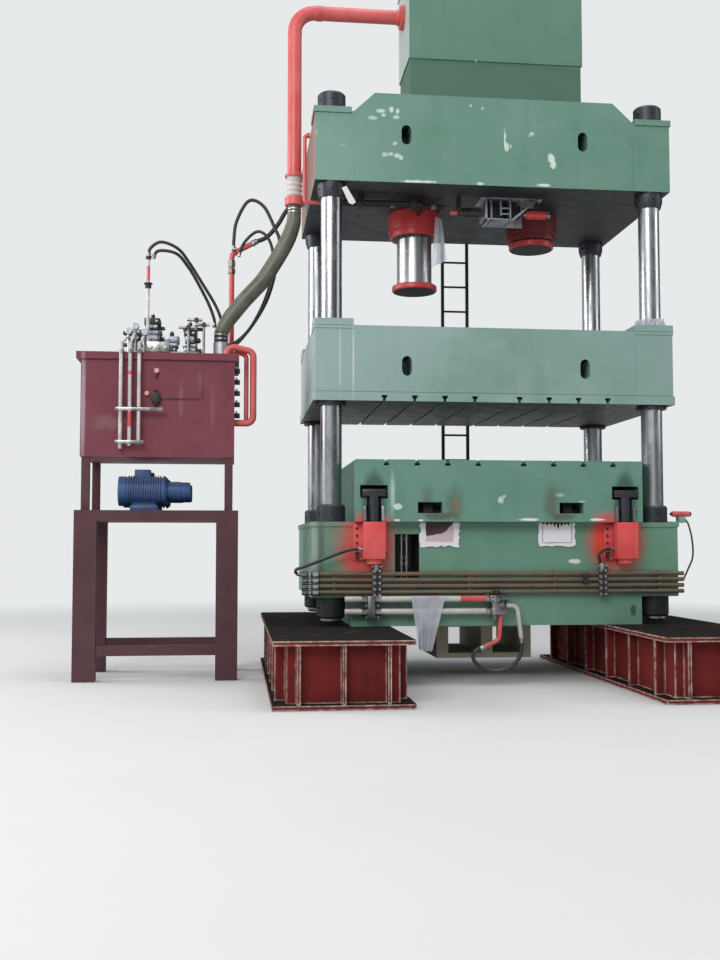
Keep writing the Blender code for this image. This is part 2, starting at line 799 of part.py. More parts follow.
def make_bolster():
    """The work table that rolls out to the front, held down by four clamps."""
    half, deep = BOLSTER_WIDTH / 2, BOLSTER_DEPTH / 2
    low = -BOLSTER_HEIGHT
    bolster = block("bolster", (-half, half), (-deep, deep), (low, 0))
    length = (-deep - 0.1, deep + 0.1)
    for side in (-1, 1):
        x = side * CLAMP_X
        name = "bolster_channel_" + ("left" if side < 0 else "right")
        head_low = low + CHANNEL_NECK_HEIGHT
        neck = block(
            name + "_neck",
            (x - CHANNEL_NECK_WIDTH / 2, x + CHANNEL_NECK_WIDTH / 2),
            length,
            (low - 0.1, head_low + CHANNEL_HEAD_HEIGHT / 2),
        )
        head = block(
            name + "_head",
            (x - CHANNEL_HEAD_WIDTH / 2, x + CHANNEL_HEAD_WIDTH / 2),
            length,
            (head_low, head_low + CHANNEL_HEAD_HEIGHT),
        )
        cut(bolster, fuse(head, neck))
    axle_z = BED_TOP + SEAT + WHEEL_RADIUS
    for side in (-1, 1):
        name = "front" if side < 0 else "back"
        y = side * WHEEL_Y
        bay = block(
            f"bolster_bay_{name}",
            (-WHEEL_BAY_HALF, WHEEL_BAY_HALF),
            (y - WHEEL_BAY_DEPTH / 2, y + WHEEL_BAY_DEPTH / 2),
            (low - 0.1, low + WHEEL_BAY_HEIGHT),
        )
        seat = rod(
            f"bolster_axle_seat_{name}",
            (-AXLE_HALF - RUN, y, axle_z),
            (AXLE_HALF + RUN, y, axle_z),
            AXLE_RADIUS + RUN,
            16,
        )
        cut(bolster, fuse(bay, seat))
        for x in (-WHEEL_X, WHEEL_X):
            window = block(
                f"bolster_window_{name}_{'left' if x < 0 else 'right'}",
                (x - WINDOW_WIDTH / 2, x + WINDOW_WIDTH / 2),
                sorted((y, side * (deep + 0.1))),
                (low + WINDOW_UP, low + WINDOW_UP + WINDOW_HEIGHT),
            )
            cut(bolster, window)
    t_slots(bolster, 0.0, -1, deep + 0.1)
    return finish(bolster, GREEN, 0.45)


def make_wheelset(name, y):
    """Two wheels on one axle, turned about the axle's own line."""
    profile = [(0, AXLE_HALF), (AXLE_RADIUS, AXLE_HALF)]
    for middle in (WHEEL_X, -WHEEL_X):
        high, low = middle + WHEEL_WIDTH / 2, middle - WHEEL_WIDTH / 2
        profile += [
            (AXLE_RADIUS, high),
            (WHEEL_RADIUS, high),
            (WHEEL_RADIUS, low),
            (AXLE_RADIUS, low),
        ]
    profile += [(AXLE_RADIUS, -AXLE_HALF), (0, -AXLE_HALF)]
    axle_z = BED_TOP + SEAT + WHEEL_RADIUS
    wheels = turned(name, profile, (0, y, axle_z), sides=16, along="X")
    return finish(wheels, DARK_STEEL, 0.5, 0.8)


def clamp_middle(y):
    return y * (BEAM_DEPTH / 2 + SEAT + CLAMP_DEPTH / 2 + PLATE_LIP)


def make_clamp_body(name, x, y):
    """The clamp's hydraulic cylinder, bolted to the bed's face under the bolster."""
    near = BEAM_DEPTH / 2 + SEAT
    middle_x, middle_y = x * CLAMP_X, clamp_middle(y)
    top = BED_TOP - BED_PLATE - SEAT
    head_top = -BOLSTER_HEIGHT - 0.004
    body = block(
        name,
        (middle_x - CLAMP_WIDTH / 2, middle_x + CLAMP_WIDTH / 2),
        sorted((y * near, y * (near + PLATE_LIP + CLAMP_DEPTH))),
        (head_top - CLAMP_HEIGHT, top),
    )
    cap = block(
        name + "_cap",
        (middle_x - CLAMP_WIDTH / 2, middle_x + CLAMP_WIDTH / 2),
        sorted((y * (near + PLATE_LIP), y * (near + PLATE_LIP + CLAMP_DEPTH))),
        (top - 0.02, head_top),
    )
    boss = rod(
        name + "_boss",
        (middle_x, middle_y, head_top - CLAMP_HEIGHT - CLAMP_BOSS),
        (middle_x, middle_y, head_top - CLAMP_HEIGHT + 0.02),
        CLAMP_BOSS_RADIUS,
        16,
    )
    fuse(body, cap, boss)
    bore = rod(
        name + "_bore",
        (middle_x, middle_y, -BOLSTER_HEIGHT - CLAMP_ROD_IN - 0.01),
        (middle_x, middle_y, head_top + 0.1),
        CLAMP_ROD_RADIUS + RUN,
        16,
    )
    cut(body, bore)
    return finish(body, RED, 0.4)


def make_clamp_bolt(name, x, y):
    """The clamp's rod and its T-head, which pulls down on the bolster's channel."""
    middle_x, middle_y = x * CLAMP_X, clamp_middle(y)
    head_low = -BOLSTER_HEIGHT + CHANNEL_NECK_HEIGHT + CLAMP_LIFT
    bolt = block(
        name,
        (middle_x - CLAMP_HEAD_WIDTH / 2, middle_x + CLAMP_HEAD_WIDTH / 2),
        (middle_y - CLAMP_HEAD_DEPTH / 2, middle_y + CLAMP_HEAD_DEPTH / 2),
        (head_low, head_low + CLAMP_HEAD_HEIGHT),
    )
    stem = rod(
        name + "_stem",
        (middle_x, middle_y, -BOLSTER_HEIGHT - CLAMP_ROD_IN + CLAMP_LIFT),
        (middle_x, middle_y, head_low + CLAMP_HEAD_HEIGHT / 2),
        CLAMP_ROD_RADIUS,
        16,
    )
    fuse(bolt, stem)
    return finish(bolt, DARK_STEEL, 0.5, 0.7)


def make_head_tank():
    """The oil tank on the crown that fills the cylinders; its lower part is a set-back skirt."""
    x = (TANK_X - TANK_WIDTH / 2, TANK_X + TANK_WIDTH / 2)
    y = (-TANK_DEPTH / 2, TANK_DEPTH / 2)
    low = CROWN_TOP + SEAT
    inset = TANK_SET_BACK
    tank = block("head_tank", x, y, (low + TANK_SKIRT, low + TANK_HEIGHT))
    skirt = block(
        "head_tank_skirt",
        (x[0] + inset, x[1] - inset),
        (y[0] + inset, y[1] - inset),
        (low, low + TANK_SKIRT + 0.02),
    )
    lid = block(
        "head_tank_lid",
        (x[0] - inset, x[1] + inset),
        (y[0] - inset, y[1] + inset),
        (low + TANK_HEIGHT - 0.01, low + TANK_HEIGHT + 0.02),
    )
    breather = rod(
        "head_tank_breather",
        (TANK_X, 0, low + TANK_HEIGHT),
        (TANK_X, 0, low + TANK_HEIGHT + 0.14),
        0.06,
        16,
    )
    fuse(tank, skirt, lid, breather)
    return finish(tank, GREEN, 0.45)


def make_prefill_pipe():
    """The big red pipe from the head tank's side, down past the crown's left end."""
    start_x = TANK_X - TANK_WIDTH / 2 - SEAT
    up = CROWN_TOP + PIPE_UP
    low = CROWN_BOTTOM + PIPE_END_UP
    run = elbows([(start_x, 0, up), (PIPE_X, 0, up), (PIPE_X, 0, low)], PIPE_BEND, 5)
    pipe = tube("prefill_pipe", run, PIPE_RADIUS, 4)
    tank_flange = rod(
        "prefill_tank_flange",
        (start_x, 0, up),
        (start_x - PIPE_FLANGE, 0, up),
        PIPE_FLANGE_RADIUS,
        12,
    )
    end_flange = rod(
        "prefill_end_flange",
        (PIPE_X, 0, low + 0.03),
        (PIPE_X, 0, low),
        JOINT_FLANGE_RADIUS,
        12,
    )
    fuse(pipe, tank_flange, end_flange)
    return finish(pipe, RED, 0.4)


def make_expansion_joint():
    """The ribbed rubber joint below the pipe, with the flange that the hose starts from."""
    top = CROWN_BOTTOM + PIPE_END_UP - SEAT
    step = JOINT_HEIGHT / JOINT_RIBS
    profile = [(0, top)]
    for number in range(JOINT_RIBS):
        high = top - number * step
        profile += [(JOINT_RADIUS - 0.015, high), (JOINT_RADIUS, high - step / 2)]
    low = top - JOINT_HEIGHT
    profile += [
        (JOINT_RADIUS - 0.015, low),
        (JOINT_FLANGE_RADIUS, low),
        (JOINT_FLANGE_RADIUS, low - JOINT_FLANGE),
        (0, low - JOINT_FLANGE),
    ]
    joint = turned("expansion_joint", profile, (PIPE_X, 0, 0), sides=12)
    return finish(joint, (0.5, 0.5, 0.48), 0.7)


def make_suction_hose():
    """The big hose that hangs from the pipe and ends on the power unit's tank."""
    top = CROWN_BOTTOM + PIPE_END_UP - SEAT - JOINT_HEIGHT - JOINT_FLANGE
    low = FLOOR + UNIT_TANK_TOP + UNIT_LID + COLLAR_HEIGHT
    middle = [
        (PIPE_X - 0.007, 0, top - 0.15),
        (PIPE_X - 0.030, 0, top - 0.31),
        (PIPE_X - 0.080, 0, top - 0.51),
        (PIPE_X - 0.190, 0, top - 0.72),
        (PIPE_X - 0.370, 0, top - 0.93),
        (SUCTION_X + 0.211, 0, low + 0.415),
        (SUCTION_X + 0.076, 0, low + 0.27),
        (SUCTION_X + 0.008, 0, low + 0.125),
    ]
    first = ((PIPE_X, 0, top), (0, 0, -1))
    last = ((SUCTION_X, 0, low), (0, 0, 1))
    made = hose("suction_hose", first, middle, last, HOSE_RADIUS, 0.13, 3)
    return finish(made, (0.10, 0.10, 0.08), 0.65)


def make_drain_pipe():
    """The thin red pipe out of the crown's left end, down and back under the crown."""
    x = -BEAM_WIDTH / 2 - 0.068
    y = -0.50
    run = elbows(
        [
            (-BEAM_WIDTH / 2 - SEAT, y, CROWN_WING_TOP - 0.045),
            (x, y, CROWN_WING_TOP - 0.045),
            (x, y, CROWN_BOTTOM - 0.055),
            (-1.52, y, CROWN_BOTTOM - 0.055),
        ],
        0.035,
    )
    return finish(tube("drain_pipe", run, 0.021), RED, 0.4)


def make_crown_pipes():
    """Two pressure pipes under the crown, on one saddle, to the left cylinder's gland."""
    z = CROWN_BOTTOM - 0.055
    first = tube("crown_pipes", [(-1.50, -0.50, z), (-0.42, -0.50, z)], 0.021)
    second = tube(
        "crown_pipes_second",
        elbows(
            [
                (-1.50, -0.62, z - 0.01),
                (-RAM_X, -0.62, z - 0.01),
                (-RAM_X, -GLAND_RADIUS - SEAT, z - 0.01),
            ],
            0.06,
        ),
        0.024,
    )
    fuse(first, second)
    for number, x in enumerate((-1.30, -0.75)):
        saddle = block(
            f"crown_pipes_saddle_{number}",
            (x - 0.03, x + 0.03),
            (-0.66, -0.46),
            (z - 0.045, CROWN_BOTTOM - SEAT),
        )
        fuse(first, saddle)
    return finish(first, (0.45, 0.45, 0.45), 0.4, 0.6)


def make_valve_bracket():
    """A bent-plate valve bracket under the crown, open to the front."""
    x = (BRACKET_LEFT, BRACKET_LEFT + BRACKET_WIDTH)
    y = (BRACKET_FRONT, BRACKET_FRONT + BRACKET_DEPTH)
    low, top = CROWN_BOTTOM - BRACKET_HEIGHT, CROWN_BOTTOM - SEAT
    plate = BRACKET_PLATE
    bracket = block("valve_bracket", x, y, (top - plate, top))
    shelf = block("valve_bracket_shelf", x, y, (low, low + plate))
    back = block("valve_bracket_back", x, (y[1] - plate, y[1]), (low, top))
    fuse(bracket, shelf, back)
    for number, at in enumerate((x[0], x[0] + 0.10, x[1] - plate)):
        side = block(f"valve_bracket_side_{number}", (at, at + plate), y, (low, top))
        fuse(bracket, side)
    valve = rod(
        "valve_bracket_valve",
        (x[1] - 0.02, y[0] + 0.12, low + BRACKET_HEIGHT / 2),
        (x[1] + 0.26, y[0] + 0.12, low + BRACKET_HEIGHT / 2),
        0.045,
        12,
    )
    fuse(bracket, valve)
    return finish(bracket, (0.55, 0.55, 0.57), 0.4, 0.7)


def make_ladder():
    """The access ladder on the back, bracketed to the crown and the bed."""
    left, right, y = -0.09, 0.21, BEAM_DEPTH / 2 + LADDER_OUT
    low, high = BED_BOTTOM + 0.15, CROWN_TOP + 0.9
    pitch = 0.30
    rail = 0.018
    ladder = block("ladder", (left - rail, left + rail), (y - rail, y + rail), (low, high))
    other = block(
        "ladder_rail", (right - rail, right + rail), (y - rail, y + rail), (low, high)
    )
    fuse(ladder, other)
    for number in range(int((high - low) / pitch)):
        z = low + 0.15 + number * pitch
        rung = rod(f"ladder_rung_{number}", (left, y, z), (right, y, z), 0.014, 4)
        fuse(ladder, rung)
    face = BEAM_DEPTH / 2 + SEAT
    for number, z in enumerate((BED_BOTTOM + 0.5, CROWN_BOTTOM + 0.2)):
        bracket = block(
            f"ladder_bracket_{number}",
            (left - rail, right + rail),
            (face, y - rail / 2),
            (z, z + 0.06),
        )
        fuse(ladder, bracket)
    return finish(ladder, (0.03, 0.03, 0.03), 0.5)


def make_bed_pipes():
    """Four long pipes across the bed's front, in four saddles, with a nipple for the hose."""
    y = FRONT - BED_PIPE_OUT
    top = BED_TOP - BED_PIPE_DROP
    radius = BED_PIPE_RADIUS
    pipes = rod("bed_pipes", (BED_PIPE_LEFT, y, top), (BED_PIPE_RIGHT, y, top), radius, 6)
    for number in range(1, 4):
        z = top - number * BED_PIPE_PITCH
        ends = ((BED_PIPE_LEFT, y, z), (BED_PIPE_RIGHT, y, z))
        fuse(pipes, rod(f"bed_pipe_{number}", *ends, radius, 6))
    for number, x in enumerate((-1.62, -0.30, 0.55, 1.62)):
        saddle = block(
            f"bed_pipes_saddle_{number}",
            (x - 0.025, x + 0.025),
            (y - 0.03, FRONT - SEAT),
            (top - 3 * BED_PIPE_PITCH - 0.03, top + 0.035),
        )
        fuse(pipes, saddle)
    nipple = rod(
        "bed_pipes_nipple", (NIPPLE_X, y, top), (NIPPLE_X, y, top + NIPPLE_HEIGHT), 0.018, 6
    )
    fuse(pipes, nipple)
    return finish(pipes, (0.20, 0.13, 0.09), 0.7, 0.3)


def make_cushion_lines():
    """The two cushion pipes under the bed pipes, with their flange block."""
    y = FRONT - CUSHION_OUT
    high = BED_TOP - CUSHION_DROP
    low = high - CUSHION_PITCH
    end = CUSHION_VALVE_X - SEAT
    lines = rod("cushion_lines", (-1.52, y, high), (end, y, high), 0.03, 12)
    second = rod("cushion_lines_second", (-1.52, y, low), (end, y, low), 0.03, 12)
    flanges = block(
        "cushion_lines_flange",
        (-1.31, -1.23),
        (y - 0.06, FRONT - SEAT),
        (low - 0.07, high + 0.035),
    )
    fuse(lines, second, flanges)
    return finish(lines, (0.55, 0.55, 0.52), 0.4, 0.5)


def cushion_ports():
    """The outlet's and the feed's run below the cushion valve, as corner points."""
    y = FRONT - CUSHION_OUT
    line = BED_TOP - CUSHION_DROP
    outlet = [(0.04, y, line - 0.07), (0.16, y, line - 0.07), (0.20, y, line - 0.38)]
    feed = [(0.0, y, line - 0.14), (-0.02, y, line - 0.40), (-0.16, y, line - 0.46)]
    return outlet, feed


def make_cushion_valve():
    """The valve block at the end of the cushion pipes, with its knob and outlet pipes."""
    y = FRONT - CUSHION_OUT
    line = BED_TOP - CUSHION_DROP
    valve = block(
        "cushion_valve",
        (CUSHION_VALVE_X, CUSHION_VALVE_X + 0.187),
        (y - 0.07, FRONT - SEAT),
        (line - CUSHION_PITCH - 0.04, line + 0.04),
    )
    knob_x = CUSHION_VALVE_X + 0.073
    knob = rod(
        "cushion_valve_knob",
        (knob_x, y - 0.035, line + 0.02),
        (knob_x, y - 0.035, line + 0.09),
        0.03,
        12,
    )
    outlet, feed = cushion_ports()
    outlet = tube("cushion_valve_outlet", elbows(outlet, 0.06), 0.022)
    feed = tube("cushion_valve_feed", elbows(feed, 0.08), 0.022)
    fuse(valve, knob, outlet, feed)
    return finish(valve, (0.5, 0.5, 0.5), 0.4, 0.5)


def make_cushion_hose():
    """The loop of black hose from the outlet pipe to the feed pipe's end."""
    y = FRONT - CUSHION_OUT
    line = BED_TOP - CUSHION_DROP
    ends = []
    for run in cushion_ports():
        before, end = Vector(run[-2]), Vector(run[-1])
        ends.append((end, end - before))
    middle = [
        (0.19, y, line - 0.55),
        (0.10, y, line - 0.66),
        (-0.04, y, line - 0.70),
        (-0.18, y, line - 0.67),
        (-0.27, y, line - 0.59),
        (-0.26, y, line - 0.51),
    ]
    made = hose("cushion_hose", ends[0], middle, ends[1], 0.02, 0.07)
    return finish(made, BLACK_RUBBER, 0.6)


def make_cushion_housing():
    """The die cushion's housing under the bed's middle, with two windows through it."""
    low = BED_BOTTOM - HOUSING_HEIGHT
    housing = block(
        "cushion_housing",
        (HOUSING_LEFT, HOUSING_RIGHT),
        (-HOUSING_DEPTH / 2, HOUSING_DEPTH / 2),
        (low, BED_BOTTOM - SEAT),
    )
    windows = ((HOUSING_LEFT + 0.12, -0.06), (0.06, HOUSING_RIGHT - 0.10))
    for number, window_x in enumerate(windows):
        window = block(
            f"cushion_housing_window_{number}",
            window_x,
            (-HOUSING_DEPTH / 2 - 0.1, HOUSING_DEPTH / 2 + 0.1),
            (low + HOUSING_WALL, BED_BOTTOM - HOUSING_WALL),
        )
        cut(housing, window)
    return finish(housing, (0.35, 0.33, 0.26), 0.6)


def make_clamp_hoses():
    """The black hoses that feed the two front clamps from the bed pipes."""
    y = clamp_middle(-1)
    pipe_y = FRONT - BED_PIPE_OUT
    between = (y + pipe_y) / 2
    port = -BOLSTER_HEIGHT - CLAMP_PORT_DROP
    pipe = BED_TOP - BED_PIPE_DROP
    side = CLAMP_X + CLAMP_WIDTH / 2
    left = hose(
        "clamp_hose_left",
        ((-side, y, port), (-1, 0, 0)),
        [
            (-side - 0.15, y, port - 0.015),
            (-side - 0.33, y, port - 0.08),
            (BED_PIPE_LEFT + 0.07, y, port - 0.15),
            (BED_PIPE_LEFT - 0.06, between, port - 0.20),
        ],
        ((BED_PIPE_LEFT, pipe_y, pipe), (-1, 0, 0)),
        0.016,
        0.07,
    )
    right = hose(
        "clamp_hose_right",
        ((CLAMP_X - CLAMP_WIDTH / 2, y, port), (-1, 0, 0)),
        [
            (NIPPLE_X + 0.02, y, port - 0.01),
            (NIPPLE_X - 0.03, y, port - 0.06),
            (NIPPLE_X - 0.01, between, port - 0.12),
        ],
        ((NIPPLE_X, pipe_y, pipe + NIPPLE_HEIGHT), (0, 0, 1)),
        0.016,
    )
    return [finish(made, BLACK_RUBBER, 0.6) for made in (left, right)]


def make_unit_frame():
    """The power unit's steel frame: legs, sills, pump deck and the posts under the tank."""
    half, deep = UNIT_WIDTH / 2, UNIT_DEPTH / 2
    post_x = UNIT_TANK_WIDTH / 2 - POST_IN
    post_y = UNIT_TANK_DEPTH / 2 - POST_IN
    deck_top = FLOOR + UNIT_DECK_TOP
    deck_low = deck_top - UNIT_DECK
    frame = block(
        "unit_frame", (UNIT_X - half, UNIT_X + half), (-deep, deep), (deck_low, deck_top)
    )
    for name, (x, y) in CORNERS.items():
        leg = block(
            f"unit_leg_{name}",
            sorted((UNIT_X + x * half, UNIT_X + x * (half - LEG_WIDTH))),
            sorted((y * deep, y * (deep - LEG_DEPTH))),
            (FLOOR, deck_low + 0.02),
        )
        post = block(
            f"unit_post_{name}",
            sorted((UNIT_X + x * post_x, UNIT_X + x * (post_x - POST))),
            sorted((y * post_y, y * (post_y - POST))),
            (deck_top - 0.02, FLOOR + UNIT_TANK_BOTTOM - SEAT),
        )
        fuse(frame, leg, post)
    for side in (-1, 1):
        sill = block(
            f"unit_sill_{'front' if side < 0 else 'back'}",
            (UNIT_X - half + 0.02, UNIT_X + half - 0.02),
            sorted((side * (deep - 0.02), side * (deep - LEG_DEPTH + 0.02))),
            (FLOOR + 0.25, FLOOR + 0.25 + SILL_HEIGHT),
        )
        fuse(frame, sill)
    return finish(frame, MAROON, 0.5)


def make_unit_tank():
    """The power unit's oil tank, with its lid and the collar for the big hose."""
    half, deep = UNIT_TANK_WIDTH / 2, UNIT_TANK_DEPTH / 2
    top = FLOOR + UNIT_TANK_TOP
    tank = block(
        "unit_tank",
        (UNIT_X - half, UNIT_X + half),
        (-deep, deep),
        (FLOOR + UNIT_TANK_BOTTOM, top + 0.01),
    )
    lid = block(
        "unit_tank_lid",
        (UNIT_X - UNIT_WIDTH / 2, UNIT_X + UNIT_WIDTH / 2),
        (-UNIT_DEPTH / 2, UNIT_DEPTH / 2),
        (top, top + UNIT_LID),
    )
    collar = rod(
        "unit_tank_collar",
        (SUCTION_X, 0, top),
        (SUCTION_X, 0, top + UNIT_LID + COLLAR_HEIGHT),
        COLLAR_RADIUS,
        16,
    )
    fuse(tank, lid, collar)
    return finish(tank, MAROON, 0.45)


def make_motor_pump(name, y):
    """A foot-mounted motor with its pump on the shaft end, lying along X on the deck."""
    deck = FLOOR + UNIT_DECK_TOP + SEAT
    z = deck + MOTOR_RADIUS + 0.04
    start = UNIT_X + MOTOR_START
    end = start + MOTOR_LENGTH
    profile = [
        (0, PUMP_LENGTH + end - start),
        (PUMP_RADIUS, PUMP_LENGTH + end - start),
        (PUMP_RADIUS, end - start + 0.03),
        (MOTOR_RADIUS * 0.85, end - start + 0.03),
        (MOTOR_RADIUS, end - start - 0.02),
        (MOTOR_RADIUS, 0.09),
        (MOTOR_RADIUS * 0.94, 0.08),
        (MOTOR_RADIUS * 0.94, 0),
        (0, 0),
    ]
    motor = turned(name, profile, (start, y, z), along="X")
    foot = block(
        name + "_foot",
        (start + 0.12, end - 0.06),
        (y - MOTOR_RADIUS * 0.8, y + MOTOR_RADIUS * 0.8),
        (deck, z - MOTOR_RADIUS * 0.6),
    )
    box = block(
        name + "_box",
        (start + 0.16, start + 0.32),
        (y - 0.06, y + 0.06),
        (z + MOTOR_RADIUS * 0.8, z + MOTOR_RADIUS + 0.06),
    )
    fuse(motor, foot, box)
    return finish(motor, (0.03, 0.08, 0.22), 0.5)


def make_unit_manifold():
    """The valve blocks on the tank's lid."""
    low = FLOOR + UNIT_TANK_TOP + UNIT_LID + SEAT
    manifold = block(
        "unit_manifold",
        (UNIT_X - 0.355, UNIT_X + 0.395),
        (-MANIFOLD_DEPTH / 2, MANIFOLD_DEPTH / 2),
        (low, low + MANIFOLD_HEIGHT),
    )
    towers = (
        (-0.275, 0.10, 0.40),
        (-0.095, 0.12, 0.52),
        (0.105, 0.10, 0.34),
        (0.295, 0.09, 0.44),
    )
    for number, (from_middle, half, height) in enumerate(towers):
        x = UNIT_X + from_middle
        tower = block(
            f"unit_manifold_tower_{number}",
            (x - half * 0.75, x + half * 0.75),
            (-half, half),
            (low + MANIFOLD_HEIGHT / 2, low + height),
        )
        valve = rod(
            f"unit_manifold_valve_{number}",
            (x, -half - 0.11, low + height - 0.08),
            (x, -half + 0.02, low + height - 0.08),
            0.04,
            12,
        )
        fuse(manifold, tower, valve)
    return finish(manifold, (0.6, 0.6, 0.6), 0.35, 0.8)


def make_unit_return_pipe():
    """The red return pipe that arches from the lid down into the tank's right side."""
    top = FLOOR + UNIT_TANK_TOP + UNIT_LID + SEAT
    side = UNIT_X + UNIT_TANK_WIDTH / 2 + SEAT
    y = -0.36
    run = elbows(
        [
            (side - 0.08, y, top),
            (side - 0.08, y, top + 0.11),
            (side + 0.19, y, top + 0.05),
            (side + 0.19, y, top - 0.69),
            (side, y, top - 0.69),
        ],
        0.07,
    )
    return finish(tube("unit_return_pipe", run, 0.035), RED, 0.4)


def make_unit_pipes():
    """Three delivery pipes down the tank's front, held by one cross clamp."""
    lid = FLOOR + UNIT_TANK_TOP + UNIT_LID + SEAT
    face = -UNIT_TANK_DEPTH / 2
    front = -UNIT_DEPTH / 2 - 0.04
    first = None
    for number in range(3):
        x = UNIT_X - 0.365 + number * UNIT_PIPE_PITCH
        run = elbows(
            [
                (x, front + 0.13, lid),
                (x, front + 0.13, lid + 0.09),
                (x, front, lid + 0.09),
                (x, front, lid - 0.98 + 0.03 * number),
            ],
            0.035,
            2,
        )
        pipe = tube(f"unit_pipe_{number}", run, 0.018, 1)
        if first is None:
            first = pipe
            first.name = "unit_pipes"
        else:
            fuse(first, pipe)
    clamp_x = (UNIT_X - 0.415, UNIT_X - 0.415 + 2 * UNIT_PIPE_PITCH + 0.10)
    for number, drop in enumerate((0.42, 0.88)):
        clamp = block(
            f"unit_pipes_clamp_{number}",
            clamp_x,
            (front - 0.01, face - SEAT),
            (lid - drop, lid - drop + 0.04),
        )
        fuse(first, clamp)
    return finish(first, (0.62, 0.62, 0.58), 0.4, 0.3)


def riser_run():
    """The corner points of the red pressure pipe."""
    top = FLOOR + UNIT_TANK_TOP + UNIT_LID + SEAT
    return [
        (RISER_X, RISER_Y, top),
        (RISER_X, RISER_Y, top + 1.24),
        (RISER_X + 0.22, RISER_Y, top + 1.36),
    ]


def make_unit_riser():
    """The red pressure pipe that rises from the lid and leans out to the press."""
    run = riser_run()
    riser = tube("unit_riser", elbows(run, 0.08), 0.03)
    foot = rod("unit_riser_foot", run[0], Vector(run[0]) + Vector((0, 0, 0.03)), 0.06, 12)
    fuse(riser, foot)
    return finish(riser, RED, 0.4)


def make_unit_hose():
    """The black hose from the riser's end to a port on the crown's left end."""
    run = riser_run()
    before, end = Vector(run[-2]), Vector(run[-1])
    port = CROWN_BOTTOM + 0.185
    crown_end = -BEAM_WIDTH / 2
    middle = [
        (end.x + 0.16, RISER_Y, end.z + 0.08),
        (end.x + 0.28, RISER_Y, end.z + 0.22),
        (crown_end - 0.21, RISER_Y, port - 0.10),
        (crown_end - 0.12, RISER_Y, port - 0.01),
    ]
    last = ((crown_end, RISER_Y, port), (-1, 0, 0))
    made = hose("unit_hose", (end, end - before), middle, last, 0.025, 0.09)
    return finish(made, BLACK_RUBBER, 0.6)


make_stand("stand_left", -1)
make_stand("stand_right", 1)
make_bed()
make_crown()
make_slide()
make_bolster()
for corner, (corner_x, corner_y) in CORNERS.items():
    make_column(f"column_{corner}", corner_x, corner_y)
    make_top_nut(f"top_nut_{corner}", corner_x, corner_y)
    make_bush(f"guide_bush_{corner}", corner_x, corner_y)
    make_clamp_body(f"clamp_body_{corner}", corner_x, corner_y)
    make_clamp_bolt(f"clamp_bolt_{corner}", corner_x, corner_y)
for hand, ram_x, ram_out in (("left", -RAM_X, LEFT_RAM_OUT), ("right", RAM_X, 0.0)):
    make_cylinder(f"cylinder_{hand}", ram_x)
    make_ram(f"ram_{hand}", ram_x, ram_out)
    make_ram_flange(f"ram_flange_{hand}", ram_x, ram_out)
make_wheelset("wheelset_front", -WHEEL_Y)
make_wheelset("wheelset_back", WHEEL_Y)
make_head_tank()
make_prefill_pipe()
make_expansion_joint()
make_suction_hose()
make_drain_pipe()
make_crown_pipes()
make_valve_bracket()
make_ladder()
make_bed_pipes()
make_cushion_lines()
make_cushion_valve()
make_cushion_hose()
make_cushion_housing()
make_clamp_hoses()
make_unit_frame()
make_unit_tank()
make_motor_pump("motor_pump_front", -MOTOR_Y)
make_motor_pump("motor_pump_back", MOTOR_Y)
make_unit_manifold()
make_unit_return_pipe()
make_unit_pipes()
make_unit_riser()
make_unit_hose()
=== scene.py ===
# %% [markdown]
# # Dressing a four-column hydraulic press
# The press stands in the shop half assembled: green welded beams on chromed columns, two rams, a
# bolster held by four red clamps, and a maroon power unit beside it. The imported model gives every
# size. Here each piece gets the finish and the fine detail that the solids leave out.

# %% Load the frame
import math
import random

import bpy
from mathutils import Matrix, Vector


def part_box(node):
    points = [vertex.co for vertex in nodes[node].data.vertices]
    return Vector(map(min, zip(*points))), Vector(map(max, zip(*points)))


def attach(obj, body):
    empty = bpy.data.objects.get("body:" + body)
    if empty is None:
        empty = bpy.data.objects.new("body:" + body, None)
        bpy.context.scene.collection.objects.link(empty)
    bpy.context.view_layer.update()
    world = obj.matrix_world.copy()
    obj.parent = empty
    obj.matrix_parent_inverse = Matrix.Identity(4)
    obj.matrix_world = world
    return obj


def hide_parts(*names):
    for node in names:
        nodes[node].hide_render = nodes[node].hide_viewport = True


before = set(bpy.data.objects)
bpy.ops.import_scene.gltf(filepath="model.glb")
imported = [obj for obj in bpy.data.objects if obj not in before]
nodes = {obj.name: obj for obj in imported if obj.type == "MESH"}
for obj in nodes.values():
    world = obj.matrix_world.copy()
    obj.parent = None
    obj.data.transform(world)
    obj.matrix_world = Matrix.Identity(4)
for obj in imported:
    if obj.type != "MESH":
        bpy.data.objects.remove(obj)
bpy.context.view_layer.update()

random.seed(7)
crown, slide, bolster, bed, oil_tank = (
    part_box(node) for node in ("crown", "slide", "bolster", "bed", "unit_tank")
)
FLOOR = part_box("stand_left")[0].z

# %% [markdown]
# The camera stands where the photographer stood: well to the left of the press, at eye level, and
# tipped slightly up. Its place was worked out from points whose real position is known, so the
# beams' edges fall where they do in the picture. It comes first, so that each later piece can be
# judged through it.

# %% The camera
EYE_HEIGHT = 1.35
camera_data = bpy.data.cameras.new("eye_level")
camera_data.lens, camera_data.sensor_width, camera_data.clip_end = 41.69, 36, 300
camera = bpy.data.objects.new("eye_level", camera_data)
bpy.context.scene.collection.objects.link(camera)
camera.location = (-2.571, -11.779, FLOOR + EYE_HEIGHT)
camera.rotation_euler = (math.radians(93.335), 0, math.radians(-6.434))
bpy.context.scene.camera = camera
print("camera stands at", tuple(round(v, 2) for v in camera.location))

# %% [markdown]
# Operators act on whatever is selected, and loading leaves every solid selected. These helpers
# keep that in hand: one clears the selection, one takes the pieces that come next, and one goes
# into edit mode, runs its steps on the whole mesh, and comes out again.

# %% Helpers for selecting and editing


def clear_selection():
    """Lets go of everything."""
    bpy.ops.object.select_all(action="DESELECT")


